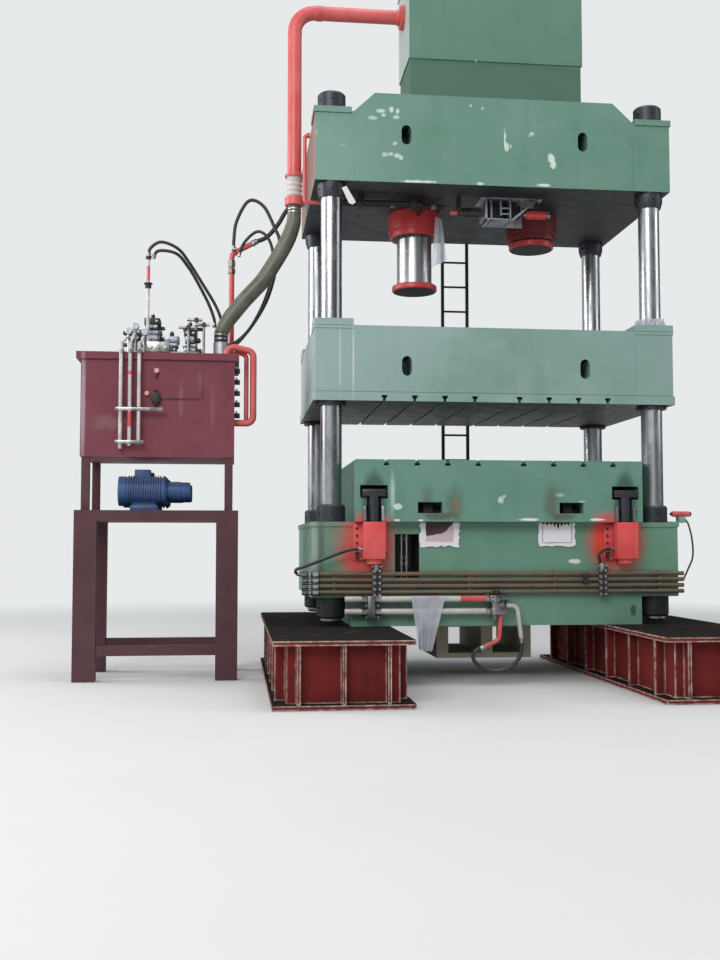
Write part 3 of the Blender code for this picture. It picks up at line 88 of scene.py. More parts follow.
def take(*pieces):
    """Selects these pieces and makes the first one active."""
    clear_selection()
    for piece in pieces:
        piece.select_set(True)
    bpy.context.view_layer.objects.active = pieces[0]


def apply_place():
    bpy.ops.object.transform_apply(location=True, rotation=True, scale=True)


def edited(*steps):
    """Runs each step on the active piece's whole mesh, and gives the piece."""
    bpy.ops.object.mode_set(mode="EDIT")
    for step in steps:
        bpy.ops.mesh.select_all(action="SELECT")
        step()
    bpy.ops.object.mode_set(mode="OBJECT")
    return bpy.context.object


def weld_points():
    bpy.ops.mesh.remove_doubles(threshold=0.00002)


def turn_out():
    bpy.ops.mesh.normals_make_consistent(inside=False)


def middle_of(node):
    """The middle of a solid's box."""
    return sum(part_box(node), Vector()) / 2


def steps_from(origin, *steps):
    """Points given as steps from an origin."""
    return [Vector(origin) + Vector(step) for step in steps]


# %% [markdown]
# Most of a press is made in three ways: sawn from plate, turned on a lathe, or bent from pipe.
# Each way gets one helper. A block is a cube at its size with its edges broken, as a grinder
# leaves them. A turned piece starts as a circle that is drawn out and widened step by step. A pipe
# is a curve with a round section, made a mesh.

# %% Helpers for plate, lathe and pipe


def block(x, y, z, rounding=0.004):
    """A block between two values on each axis."""
    clear_selection()
    spans = [sorted(pair) for pair in (x, y, z)]
    size = [high - low for low, high in spans]
    middle = [(low + high) / 2 for low, high in spans]
    bpy.ops.mesh.primitive_cube_add(size=1, location=middle)
    bpy.context.object.scale = size
    apply_place()
    width = min(rounding, 0.3 * min(size))
    if rounding:
        edited(lambda: bpy.ops.mesh.bevel(offset=width, segments=2, affect="EDGES"))
    return bpy.context.object


TILTS = {"Z": (0, 0, 0), "X": (0, math.pi / 2, 0), "Y": (-math.pi / 2, 0, 0)}
AXES = {"X": Vector((1, 0, 0)), "Y": Vector((0, 1, 0)), "Z": Vector((0, 0, 1))}


def turned(profile, place, sides=64, along="Z", ring=False, tilt=None):
    """A profile of radius and height, drawn out ring by ring and set in place."""
    clear_selection()
    radius, height = profile[0]
    bpy.ops.mesh.primitive_circle_add(vertices=sides, radius=radius, location=(0, 0, height))
    apply_place()
    bpy.ops.object.mode_set(mode="EDIT")
    bpy.ops.mesh.select_all(action="SELECT")
    for next_radius, next_height in profile[1:] + ([profile[0]] if ring else []):
        rise = (0, 0, next_height - height)
        bpy.ops.mesh.extrude_region_move(TRANSFORM_OT_translate={"value": rise})
        if abs(next_radius - radius) > 1e-7:
            factor = next_radius / radius
            bpy.ops.transform.resize(
                value=(factor, factor, 1), center_override=(0, 0, next_height)
            )
        radius, height = next_radius, next_height
    bpy.ops.object.mode_set(mode="OBJECT")
    caps = [] if ring else [lambda: bpy.ops.mesh.fill_holes(sides=0)]
    piece = edited(weld_points, *caps, turn_out)
    piece.rotation_euler = tilt or TILTS[along]
    piece.location = place
    apply_place()
    return piece


def rod(start, end, radius, sides=24, rounding=0.0):
    """A round bar between two points, with its ends broken."""
    start, end = Vector(start), Vector(end)
    length = (end - start).length
    profile = [(radius, 0), (radius, length)]
    if rounding:
        thin = radius - rounding
        profile = [(thin, 0), (radius, rounding), (radius, length - rounding), (thin, length)]
    turn = (end - start).to_track_quat("Z", "Y").to_euler()
    return turned(profile, start, sides, tilt=turn)


def bar(start, along, length, radius, sides=24, rounding=0.0):
    """A round bar from a point along an axis; a negative length runs the other way."""
    return rod(start, Vector(start) + AXES[along] * length, radius, sides, rounding)


def bends(points, bend, steps=8):
    """The points of a run with each corner rounded by an arc."""
    points = [Vector(point) for point in points]
    run = [points[0]]
    for before, corner, after in zip(points, points[1:], points[2:]):
        first, second = (before - corner).normalized(), (after - corner).normalized()
        half = first.angle(second) / 2
        reach = bend / math.tan(half)
        centre = corner + (first + second).normalized() * (bend / math.sin(half))
        start, end = corner + first * reach - centre, corner + second * reach - centre
        turn = start.angle(end)
        for step in range(steps + 1):
            share = step / steps
            arm = start * math.sin((1 - share) * turn) + end * math.sin(share * turn)
            run.append(centre + arm / math.sin(turn))
    return run + [points[-1]]


def flowing(points, spacing):
    """Points about this far apart on a smooth line through the given ones."""
    points = [Vector(point) for point in points]
    ends = [2 * points[0] - points[1], *points, 2 * points[-1] - points[-2]]
    route = [points[0]]
    for a, b, c, d in zip(ends, ends[1:], ends[2:], ends[3:]):
        steps = max(1, round((c - b).length / spacing))
        for t in (step / steps for step in range(1, steps + 1)):
            square, cube = (2 * a - 5 * b + 4 * c - d) * t * t, (3 * b - a - 3 * c + d) * t ** 3
            route.append(0.5 * (2 * b + (c - a) * t + square + cube))
    return route


def pipe(points, radius, roundness=6, swell=None):
    """A round pipe or hose; swell gives each point its own share of the radius."""
    curve = bpy.data.curves.new("pipe", "CURVE")
    curve.dimensions, curve.use_fill_caps = "3D", True
    curve.bevel_depth, curve.bevel_resolution = radius, roundness
    spline = curve.splines.new("POLY")
    spline.points.add(len(points) - 1)
    for number, (point, place) in enumerate(zip(spline.points, points)):
        point.co = (*place, 1)
        point.radius = swell(number) if swell else 1.0
    piece = bpy.data.objects.new("pipe", curve)
    bpy.context.scene.collection.objects.link(piece)
    take(piece)
    bpy.ops.object.convert(target="MESH")
    return edited(weld_points, turn_out)


def joined(bits):
    """Several pieces as one."""
    take(*bits)
    if len(bits) > 1:
        bpy.ops.object.join()
    return bpy.context.object


def copied(piece, shift):
    """A copy with its own mesh, moved."""
    take(piece)
    bpy.ops.object.duplicate(linked=False)
    bpy.context.object.location = shift
    apply_place()
    return bpy.context.object


def cut(piece, cutter):
    """Takes the cutter's shape out of a piece."""
    take(piece)
    change = piece.modifiers.new("cut", "BOOLEAN")
    change.operation, change.solver, change.object = "DIFFERENCE", "EXACT", cutter
    bpy.ops.object.modifier_apply(modifier=change.name)
    bpy.data.objects.remove(cutter, do_unlink=True)


def bolt_circle(centre, radius, count, size, along="Z", first=0.0):
    """Hexagon heads on a circle about an axis; size is a head's radius and height."""
    width, height = size
    profile = [(width, 0), (width, height * 0.8), (width * 0.86, height)]
    heads = []
    for number in range(count):
        angle = first + 2 * math.pi * number / count
        across, up = radius * math.cos(angle), radius * math.sin(angle)
        shift = {"Z": (across, up, 0), "X": (0, across, up)}[along]
        heads.append(turned(profile, Vector(centre) + Vector(shift), 6, along))
    return heads


def settle(name, bits, finish, slot, stands_for=(), body="press_frame", smooth=28):
    """Joins bits into one piece, shades and paints it, and fastens it to its body."""
    piece = joined(bits if isinstance(bits, list) else [bits])
    piece.name = name
    bpy.ops.object.shade_smooth_by_angle(angle=math.radians(smooth))
    piece.data.materials.clear()
    piece.data.materials.append(finish)
    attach(piece, body)
    if stands_for:
        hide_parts(*stands_for)
    return piece


print("helpers ready")

# %% [markdown]
# ## Finishes
# A finish is built from a few effects that every material here shares: clouded paint, broken
# edges, marks at a place, rust, settled dust, and the streaks and painted reflection bands on
# ground chrome. Each effect is a node group with named sockets, made once, so a change to it
# reaches every piece that uses it.

# %% Helpers for node boards


def feed(tree, source, socket):
    """Links a socket, or sets a plain value."""
    if isinstance(source, bpy.types.NodeSocket):
        tree.links.new(source, socket)
    else:
        socket.default_value = source


def put(tree, kind, *sources, **settings):
    """Adds a node with these settings, and feeds its first inputs in order."""
    node = tree.nodes.new(kind)
    for key, value in settings.items():
        setattr(node, key, value)
    for source, socket in zip(sources, node.inputs):
        feed(tree, source, socket)
    return node


def maths(tree, operation, *sources, clamp=False):
    node = put(tree, "ShaderNodeMath", *sources, operation=operation, use_clamp=clamp)
    return node.outputs[0]


def times(tree, first, second):
    return maths(tree, "MULTIPLY", first, second)


def rescale(tree, value, low, high, to_low=0.0, to_high=1.0, smooth=False):
    """A value mapped from one range to another, held at the ends."""
    kind = "SMOOTHSTEP" if smooth else "LINEAR"
    sources = (value, low, high, to_low, to_high)
    node = put(tree, "ShaderNodeMapRange", *sources, clamp=True, interpolation_type=kind)
    return node.outputs[0]


def blend_colour(tree, share, first, second):
    """Mixes two colours; a plain one is given as three numbers."""
    node = put(tree, "ShaderNodeMix", share, data_type="RGBA")
    for colour, socket in ((first, node.inputs[6]), (second, node.inputs[7])):
        feed(tree, (*colour, 1) if isinstance(colour, tuple) else colour, socket)
    return node.outputs[2]


def cloud(tree, scale, detail=3.0, roughness=0.5, stretch=None, distortion=0.0):
    """Noise on object coordinates; stretch scales each axis."""
    place = put(tree, "ShaderNodeTexCoord").outputs["Object"]
    if stretch:
        mapping = put(tree, "ShaderNodeMapping", place)
        mapping.inputs["Scale"].default_value = stretch
        place = mapping.outputs["Vector"]
    node = put(tree, "ShaderNodeTexNoise", place)
    for label, value in (
        ("Scale", scale), ("Detail", detail), ("Roughness", roughness), ("Distortion", distortion)
    ):
        feed(tree, value, node.inputs[label])
    return node.outputs["Fac"]


def parts_of(tree, node, label):
    """The X, Y and Z of a node's vector output."""
    return put(tree, "ShaderNodeSeparateXYZ", put(tree, node).outputs[label]).outputs


def new_group(name, inputs, outputs):
    """An empty effect with named sockets; its inputs come with their usual values."""
    kinds = {True: "NodeSocketColor", False: "NodeSocketFloat"}
    tree = bpy.data.node_groups.new(name, "ShaderNodeTree")
    for label, value in inputs.items():
        kind = kinds[isinstance(value, tuple)]
        socket = tree.interface.new_socket(name=label, in_out="INPUT", socket_type=kind)
        socket.default_value = value
    for label in outputs:
        kind = kinds[label == "Colour"]
        tree.interface.new_socket(name=label, in_out="OUTPUT", socket_type=kind)
    given, results = tree.nodes.new("NodeGroupInput"), tree.nodes.new("NodeGroupOutput")
    return tree, given.outputs, results.inputs


print("node helpers ready")

# %% [markdown]
# Shop paint is never one colour. It was sprayed in passes over filler, so broad clouds of a paler
# and a deeper tone lie in it, and it hides an orange-peel grain that only shows where light rakes
# across. Three noises at the scale of a spray pass, a hand and a droplet give that.

# %% Clouded paint
clouded_paint, given, results = new_group(
    "clouded_paint",
    {
        "Colour": (0.1, 0.2, 0.15, 1), "Pale": (0.2, 0.3, 0.25, 1), "Deep": (0.05, 0.1, 0.08, 1),
        "Pale share": 0.5, "Deep share": 0.4, "Gloss": 0.45,
    },
    ("Colour", "Roughness", "Height"),
)
tree = clouded_paint
passes = rescale(tree, cloud(tree, 0.9, 3, 0.55, (1, 1, 1.6)), 0.42, 0.68, smooth=True)
runs = rescale(tree, cloud(tree, 1.0, 4, 0.6, (5, 5, 0.7)), 0.5, 0.75, smooth=True)
blotches = rescale(tree, cloud(tree, 3.4, 4, 0.6, (1, 1, 1.5)), 0.38, 0.66, smooth=True)
tone = given["Colour"]
for share, layer in (
    (times(tree, passes, given["Pale share"]), given["Pale"]),
    (times(tree, runs, given["Deep share"]), given["Deep"]),
    (times(tree, blotches, 0.28), given["Pale"]),
):
    tone = blend_colour(tree, share, tone, layer)
smudge = rescale(tree, cloud(tree, 7, 5, 0.65), 0.35, 0.7)
feed(tree, tone, results["Colour"])
feed(tree, maths(tree, "MULTIPLY_ADD", smudge, 0.18, given["Gloss"]), results["Roughness"])
peel = maths(tree, "MULTIPLY_ADD", cloud(tree, 240, 1), 0.35, cloud(tree, 22, 3))
feed(tree, peel, results["Height"])
print("clouded paint:", len(tree.nodes), "nodes")

# %% [markdown]
# Paint breaks first along edges, where slings and spanners touch. The bevel node bends the normal
# near an edge, so the difference between the bent and the true normal is a mask of the edges.
# Noise eats into it, so that the wear is ragged.

# %% Broken edges
broken_edges, given, results = new_group("broken_edges", {"Width": 0.008, "Ragged": 0.6}, ["Mask"])
tree = broken_edges
bent = put(tree, "ShaderNodeBevel", given["Width"], samples=4).outputs["Normal"]
true_normal = put(tree, "ShaderNodeNewGeometry").outputs["Normal"]
alike = put(tree, "ShaderNodeVectorMath", bent, true_normal, operation="DOT_PRODUCT")
edge = rescale(tree, alike.outputs["Value"], 0.995, 0.86)
bite = times(tree, rescale(tree, cloud(tree, 14, 4, 0.7), 0.4, 0.62), given["Ragged"])
feed(tree, maths(tree, "SUBTRACT", edge, bite, clamp=True), results["Mask"])

# %% [markdown]
# Fillers, chips, chalk and overspray sit at one place on one face. A mark is an ellipse about a
# point of the front face, with a ragged or a soft rim. It is measured in metres on the object, so
# it stays on its plate from any side.

# %% A mark at a place
mark_at, given, results = new_group(
    "mark_at",
    {
        "X": 0.0, "Z": 0.0, "Half width": 0.05, "Half height": 0.05, "Ragged": 0.8, "Soft": 0.1,
        "Behind": 0.0,
    },
    ["Mask"],
)
tree = mark_at
here = parts_of(tree, "ShaderNodeTexCoord", "Object")
across, upward = (
    maths(tree, "DIVIDE", maths(tree, "SUBTRACT", here[axis], given[axis]), given[half])
    for axis, half in (("X", "Half width"), ("Z", "Half height"))
)
square = maths(tree, "MULTIPLY_ADD", across, across, times(tree, upward, upward))
jag = times(tree, maths(tree, "SUBTRACT", cloud(tree, 16, 4, 0.7), 0.5), given["Ragged"])
reach = maths(tree, "ADD", maths(tree, "SQRT", square), times(tree, jag, 2.0))
rim = [maths(tree, kind, 1.0, given["Soft"]) for kind in ("SUBTRACT", "ADD")]
inside = rescale(tree, reach, *rim, 1.0, 0.0, smooth=True)
on_front = maths(tree, "LESS_THAN", here["Y"], given["Behind"])
feed(tree, times(tree, inside, on_front), results["Mask"])

# %% [markdown]
# Rust comes through thin primer in small islands, and dust settles on what faces up. Both are
# masks that a material mixes over its own colour.

# %% Rust and dust
rust_islands, given, results = new_group(
    "rust_islands", {"Scale": 9.0, "Amount": 0.5}, ("Mask", "Colour")
)
tree = rust_islands
islands = cloud(tree, given["Scale"], 6, 0.72)
low_edge = maths(tree, "MULTIPLY_ADD", given["Amount"], -0.25, 0.75)
high_edge = maths(tree, "ADD", low_edge, 0.09)
feed(tree, rescale(tree, islands, low_edge, high_edge), results["Mask"])
rust_tone = blend_colour(tree, cloud(tree, 40, 4, 0.6), (0.24, 0.075, 0.03), (0.07, 0.025, 0.018))
feed(tree, rust_tone, results["Colour"])

settled_dust, given, results = new_group("settled_dust", {"Amount": 0.5}, ["Mask"])
tree = settled_dust
facing = parts_of(tree, "ShaderNodeNewGeometry", "Normal")
flat_top = rescale(tree, facing["Z"], 0.55, 0.95)
patchy = rescale(tree, cloud(tree, 5, 5, 0.65), 0.3, 0.62)
feed(tree, times(tree, times(tree, flat_top, patchy), given["Amount"]), results["Mask"])

# %% [markdown]
# The columns are ground and chromed, then wiped with an oily rag along their length, which leaves
# fine upright streaks, wipes and scuffs. The broad dark upright bands in the colour are painted
# reflections. Colour and roughness are both stretched along the column.

# %% Streaks and painted reflections on chrome
wipes_and_painted_reflections, given, results = new_group(
    "wipes_and_painted_reflections",
    {"Bright": (0.8, 0.8, 0.82, 1), "Dark": (0.2, 0.2, 0.22, 1), "Oil": 0.6},
    ("Colour", "Roughness"),
)
tree = wipes_and_painted_reflections
# Broad upright dark bands: painted reflections.
painted_reflection_bands = rescale(tree, cloud(tree, 1.0, 2, 0.5, (11, 11, 0.16)), 0.40, 0.60, smooth=True)
fine_bands = rescale(tree, cloud(tree, 1.0, 3, 0.6, (42, 42, 0.7)), 0.35, 0.7)
scuffs = rescale(tree, cloud(tree, 1.0, 6, 0.72, (26, 26, 9)), 0.60, 0.70)
areas = rescale(tree, cloud(tree, 1.0, 2, 0.5, (6, 6, 0.8)), 0.48, 0.62)
wipes = rescale(tree, cloud(tree, 5, 5, 0.7, (1, 1, 0.45), 0.6), 0.48, 0.66)
tone = given["Bright"]
for share, layer in (
    (times(tree, painted_reflection_bands, given["Oil"]), given["Dark"]),
    (times(tree, fine_bands, 0.25), given["Dark"]),
    (times(tree, wipes, 0.22), (0.42, 0.40, 0.36)),
    (times(tree, times(tree, scuffs, areas), 0.85), (0.05, 0.05, 0.055)),
):
    tone = blend_colour(tree, share, tone, layer)
feed(tree, tone, results["Colour"])
feed(tree, maths(tree, "MULTIPLY_ADD", wipes, 0.20, 0.27), results["Roughness"])
print("effects:", [g.name for g in bpy.data.node_groups])

# %% [markdown]
# A painted plate puts these together in the order of the real coats: paint, then marks and
# overspray on it, then wear through it, then dust on top. Before the dust, faces turned down can
# take a darker colour, which is painted shade, and a few marks are painted light and painted
# shade, as said where they are listed. The same recipe serves every painted piece, with its own
# colours and its own list of marks.

# %% The recipe for a painted surface
DUST = (0.30, 0.29, 0.26)
EVERYWHERE = 20.0


def effect(tree, group, **values):
    """Places a group in a material; numbers and colours go to its named sockets."""
    node = put(tree, "ShaderNodeGroup", node_tree=group)
    for key, value in values.items():
        value = (*value, 1) if isinstance(value, tuple) else value
        feed(tree, value, node.inputs[key.replace("_", " ")])
    return node.outputs


def new_material(name, **settings):
    """A material whose plain numbers are set on the shader's own sockets."""
    material = bpy.data.materials.new(name)
    material.use_nodes = True
    shader = material.node_tree.nodes["Principled BSDF"]
    for key, value in settings.items():
        shader.inputs[key.replace("_", " ")].default_value = value
    return material, material.node_tree, shader.inputs


def surface(tree, shader, tone, rough, height, strength, distance):
    """Feeds the shader its colour, its roughness and a fine relief."""
    feed(tree, tone, shader["Base Color"])
    feed(tree, rough, shader["Roughness"])
    node = put(tree, "ShaderNodeBump")
    for label, value in (("Strength", strength), ("Distance", distance), ("Height", height)):
        feed(tree, value, node.inputs[label])
    feed(tree, node.outputs["Normal"], shader["Normal"])


def painted(name, colour, pale, deep, marks=(), front=0.0, gloss=0.42, edge=(0.3, 0.3, 0.28),
            edge_share=0.5, rust=0.0, dust=0.35, edge_width=0.008, pale_share=0.55,
            deep_share=0.45, underside_shade=None, on_top=DUST, shine=0.5):
    """Paint with marks: colour, strength, x, z, half width, half height, ragged, soft.

    A mark lies on what is before y = front, unless the mark itself ends with another y.
    """
    material, tree, shader = new_material(name, Specular_IOR_Level=shine)
    coat = effect(
        tree, clouded_paint, Colour=colour, Pale=pale, Deep=deep,
        Pale_share=pale_share, Deep_share=deep_share, Gloss=gloss,
    )
    tone = coat["Colour"]
    for mark_colour, strength, x, z, wide, high, ragged, soft, *reach in marks:
        spot = effect(
            tree, mark_at, X=x, Z=z, Half_width=wide, Half_height=high, Ragged=ragged, Soft=soft,
            Behind=reach[0] if reach else front,
        )
        tone = blend_colour(tree, times(tree, spot["Mask"], strength), tone, mark_colour)
    if rust:
        spread = effect(tree, rust_islands, Scale=6.0, Amount=rust)
        tone = blend_colour(tree, spread["Mask"], tone, spread["Colour"])
    worn = effect(tree, broken_edges, Width=edge_width, Ragged=0.8)["Mask"]
    tone = blend_colour(tree, times(tree, worn, edge_share), tone, edge)
    # Faces turned down take the underside colour: painted shade.
    if underside_shade:
        facing = parts_of(tree, "ShaderNodeNewGeometry", "Normal")
        tone = blend_colour(tree, rescale(tree, facing["Z"], -0.6, -0.9), tone, underside_shade)
    grit = effect(tree, settled_dust, Amount=dust)["Mask"]
    tone = blend_colour(tree, grit, tone, on_top)
    rough = maths(tree, "MULTIPLY_ADD", grit, 0.3, coat["Roughness"], clamp=True)
    surface(tree, shader, tone, rough, coat["Height"], 0.22, 0.003)
    return material


FILLER, CHALK, SEAM = (0.62, 0.72, 0.64), (0.78, 0.80, 0.76), (0.07, 0.14, 0.11)
GREASE, OVERSPRAY, SHADE = (0.075, 0.06, 0.035), (0.60, 0.055, 0.05), (0.02, 0.055, 0.045)

# %% [markdown]
# The crown's paint is fresh over filler that was rubbed through around the lifting holes, along
# its lower edge and in a few scratches. Each patch is put where the picture shows it. A fine
# upright line is the seam between the end plate and the middle of the front plate.

# %% Paint of the crown and the tank
crown_marks = [
    (FILLER, strength, x, z, wide, high, 1.3, 0.30)
    for x, z, wide, high, strength in (
        (-1.16, 3.475, 0.040, 0.016, 0.75), (-1.05, 3.50, 0.022, 0.024, 0.8),
        (-0.99, 3.485, 0.016, 0.026, 0.75), (-1.235, 3.40, 0.045, 0.018, 0.6),
        (-1.13, 3.43, 0.024, 0.018, 0.7), (-1.00, 3.415, 0.030, 0.018, 0.6),
        (-1.12, 3.035, 0.030, 0.018, 0.65), (-1.055, 3.045, 0.022, 0.016, 0.7),
        (-0.99, 3.03, 0.030, 0.022, 0.8), (-0.96, 3.005, 0.020, 0.022, 0.7),
        (-1.015, 3.15, 0.022, 0.018, 0.6), (-1.80, 3.235, 0.014, 0.030, 0.4),
        (-1.53, 3.115, 0.028, 0.009, 0.45), (-1.93, 3.10, 0.020, 0.020, 0.4),
        (0.098, 3.25, 0.012, 0.085, 0.8), (0.115, 3.16, 0.022, 0.040, 0.75),
        (0.155, 3.17, 0.010, 0.030, 0.5), (0.375, 3.305, 0.030, 0.014, 0.7),
        (0.355, 3.285, 0.018, 0.010, 0.6), (0.572, 3.06, 0.035, 0.045, 0.9),
        (0.590, 2.995, 0.032, 0.040, 0.85), (-0.25, 3.565, 0.012, 0.016, 0.5),
        (-0.13, 3.545, 0.012, 0.014, 0.5), (-0.78, 2.775, 0.17, 0.012, 0.85),
        (-0.155, 2.775, 0.030, 0.012, 0.75), (0.50, 2.785, 0.075, 0.012, 0.85),
    )
] + [
    (SEAM, 0.6, -1.42, 3.1, 0.004, 0.42, 0.0, 0.6),
    (SEAM, 0.45, 1.42, 3.1, 0.004, 0.42, 0.0, 0.6),
    ((0.40, 0.10, 0.09), 0.9, -1.835, 3.10, 0.030, 0.45, 0.3, 0.5, EVERYWHERE),
    ((0.20, 0.33, 0.28), 0.5, -1.70, 3.05, 0.55, 0.45, 0.4, 0.7),
]
# The crown's faces turned down are painted near black: painted shade under it.
crown_paint = painted(
    "crown_paint", (0.108, 0.228, 0.168), (0.150, 0.272, 0.222), (0.080, 0.19, 0.132), crown_marks,
    crown[0].y + 0.05, underside_shade=(0.017, 0.019, 0.022),
)
tank_fold, tank_end = crown[1].z + 0.70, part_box("head_tank")[0].x
tank_paint = painted(
    "head_tank_paint", (0.086, 0.188, 0.136), (0.108, 0.216, 0.162), (0.068, 0.156, 0.11),
    [
        ((0.052, 0.128, 0.088), 0.85, 0.0, tank_fold - 0.45, 3.0, 0.45, 0.0, 0.05, EVERYWHERE),
        (FILLER, 0.6, -0.03, tank_fold, 0.012, 0.012, 0.5, 0.3),
        # A pale strip down the tank's left end: painted light from the left.
        ((0.44, 0.50, 0.47), 0.85, tank_end, tank_fold + 0.5, 0.020, 3.0, 0.0, 0.1, EVERYWHERE),
    ],
    dust=0.5,
)

# %% [markdown]
# The slide's paint is mixed paler and bluer than the crown's, as painted light for the skylight
# that it catches. The plate seams on the lower beams are darker lines. Around each clamp the red
# was sprayed with the clamp already in place, and its mist lies on the bed and the bolster.

# %% Paint of the slide, the bolster and the bed
FACE_DEPTH = 0.06
slide_seam, pad_shadow_z = slide[0].z + 0.090, slide[1].z - 0.068
slide_paint = painted(
    "slide_paint", (0.172, 0.292, 0.238), (0.262, 0.372, 0.348), (0.140, 0.262, 0.200),
    [
        # Two broad pale patches: painted sheen from the skylight.
        ((0.285, 0.385, 0.378), 0.75, -1.75, 1.0, 1.0, 0.6, 0.5, 0.8),
        ((0.235, 0.335, 0.32), 0.6, 1.45, 1.2, 0.9, 0.35, 0.7, 0.8),
        # A pale strip down the slide's left end: painted light from the left.
        ((0.38, 0.46, 0.44), 0.8, slide[0].x, 0.98, 0.020, 1.2, 0.0, 0.2, EVERYWHERE),
        (SEAM, 0.35, 1.42, 0.96, 0.004, 0.36, 0.0, 0.6),
        (CHALK, 0.4, -1.43, 0.98, 0.008, 0.36, 0.2, 0.6),
        (CHALK, 0.25, -1.56, 1.00, 0.010, 0.30, 0.3, 0.6),
        (SEAM, 0.75, 0.0, slide_seam, 3.0, 0.004, 0.0, 0.5),
        # Dark lines under the pads: painted shade below their lower edges.
        (SEAM, 0.75, -1.62, pad_shadow_z, 0.205, 0.005, 0.0, 0.3),
        (SEAM, 0.75, 1.62, pad_shadow_z, 0.205, 0.005, 0.0, 0.3),
    ],
    # The slide's faces turned down are painted near black: painted shade under it.
    slide[0].y + FACE_DEPTH, gloss=0.36, pale_share=0.8, underside_shade=(0.012, 0.012, 0.014),
)
clamp_left, clamp_right = (middle_of(f"clamp_body_front_{hand}").x for hand in ("left", "right"))
bolster_marks = [
    (OVERSPRAY, 0.85, clamp_left - 0.04, -0.61, 0.20, 0.085, 0.4, 0.6),
    (OVERSPRAY, 0.85, clamp_right - 0.14, -0.61, 0.17, 0.10, 0.4, 0.6),
    (FILLER, 0.85, -1.02, -0.455, 0.038, 0.028, 0.6, 0.3),
    (FILLER, 0.5, -1.065, -0.33, 0.020, 0.16, 0.3, 0.7),
    (FILLER, 0.7, -0.005, -0.385, 0.030, 0.030, 1.0, 0.3),
    (FILLER, 0.6, 0.025, -0.355, 0.020, 0.018, 1.0, 0.3),
    (FILLER, 0.45, 0.58, -0.335, 0.040, 0.018, 1.0, 0.4),
    (FILLER, 0.4, 0.80, -0.40, 0.040, 0.012, 1.0, 0.4),
    (GREASE, 0.55, -0.46, -0.44, 0.075, 0.15, 0.8, 0.8),
    (GREASE, 0.5, -0.73, -0.40, 0.05, 0.12, 0.9, 0.8),
    (GREASE, 0.55, 0.50, -0.42, 0.07, 0.16, 0.8, 0.8),
    (GREASE, 0.7, -0.60, -0.545, 0.15, 0.035, 1.0, 0.5),
    (GREASE, 0.7, 0.62, -0.545, 0.12, 0.035, 1.0, 0.5),
    ((0.34, 0.13, 0.04), 0.55, -0.435, -0.43, 0.022, 0.05, 0.8, 0.6),
    (CHALK, 0.85, 0.27, -0.575, 0.10, 0.012, 0.8, 0.3),
    (CHALK, 0.85, 0.95, -0.575, 0.07, 0.012, 0.8, 0.3),
    (CHALK, 0.8, -1.02, -0.585, 0.03, 0.010, 0.8, 0.3),
    (CHALK, 0.8, -0.79, -0.585, 0.03, 0.010, 0.8, 0.3),
    (SHADE, 0.75, clamp_left, -0.42, 0.115, 0.30, 0.2, 0.25),
    (SHADE, 0.75, clamp_right, -0.42, 0.115, 0.30, 0.2, 0.25),
]
bolster_paint = painted(
    "bolster_paint", (0.108, 0.238, 0.178), (0.145, 0.278, 0.238), (0.078, 0.198, 0.140),
    bolster_marks, bolster[0].y + FACE_DEPTH,
)
bed_marks = [
    (SEAM, 0.7, 0.0, FLOOR + 1.527, 3.0, 0.004, 0.0, 0.5),
    (OVERSPRAY, 0.9, clamp_left - 0.06, -0.84, 0.27, 0.33, 0.3, 0.38),
    ((0.66, 0.05, 0.035), 0.9, clamp_left - 0.17, -0.78, 0.09, 0.24, 0.4, 0.5),
    (OVERSPRAY, 0.9, clamp_right - 0.05, -0.80, 0.27, 0.28, 0.3, 0.40),
    ((0.72, 0.055, 0.03), 0.95, clamp_right - 0.17, -0.76, 0.11, 0.20, 0.4, 0.5),
    ((0.18, 0.20, 0.16), 0.4, -1.62, -0.72, 0.2, 0.2, 0.8, 0.8),
    # A pale strip at the bed's left end is painted light from the left; a darker strip lies beside
    # it.
    ((0.36, 0.41, 0.38), 0.7, bed[0].x + 0.02, -0.86, 0.05, 0.30, 0.4, 0.6),
    ((0.05, 0.07, 0.06), 0.6, bed[0].x + 0.10, -0.86, 0.03, 0.30, 0.4, 0.6),
    (CHALK, 0.8, 0.77, -0.985, 0.055, 0.024, 0.9, 0.2),
    ((0.02, 0.05, 0.04), 0.8, 1.36, -1.47, 0.03, 0.05, 0.4, 0.3),
    (GREASE, 0.4, -1.2, -1.45, 0.5, 0.10, 1.4, 0.6),
]
bed_paint = painted(
    "bed_paint", (0.112, 0.252, 0.165), (0.152, 0.285, 0.228), (0.08, 0.215, 0.115), bed_marks,
    bed[0].y + FACE_DEPTH,
)
print("green paints carry", len(crown_marks) + len(bolster_marks) + len(bed_marks), "marks")

# %% [markdown]
# The stands and the power unit are in red-brown primer that is dull, scuffed and rusting. Pipes,
# glands and clamps got a coat of red enamel, which shines more and chips pale at its edges.

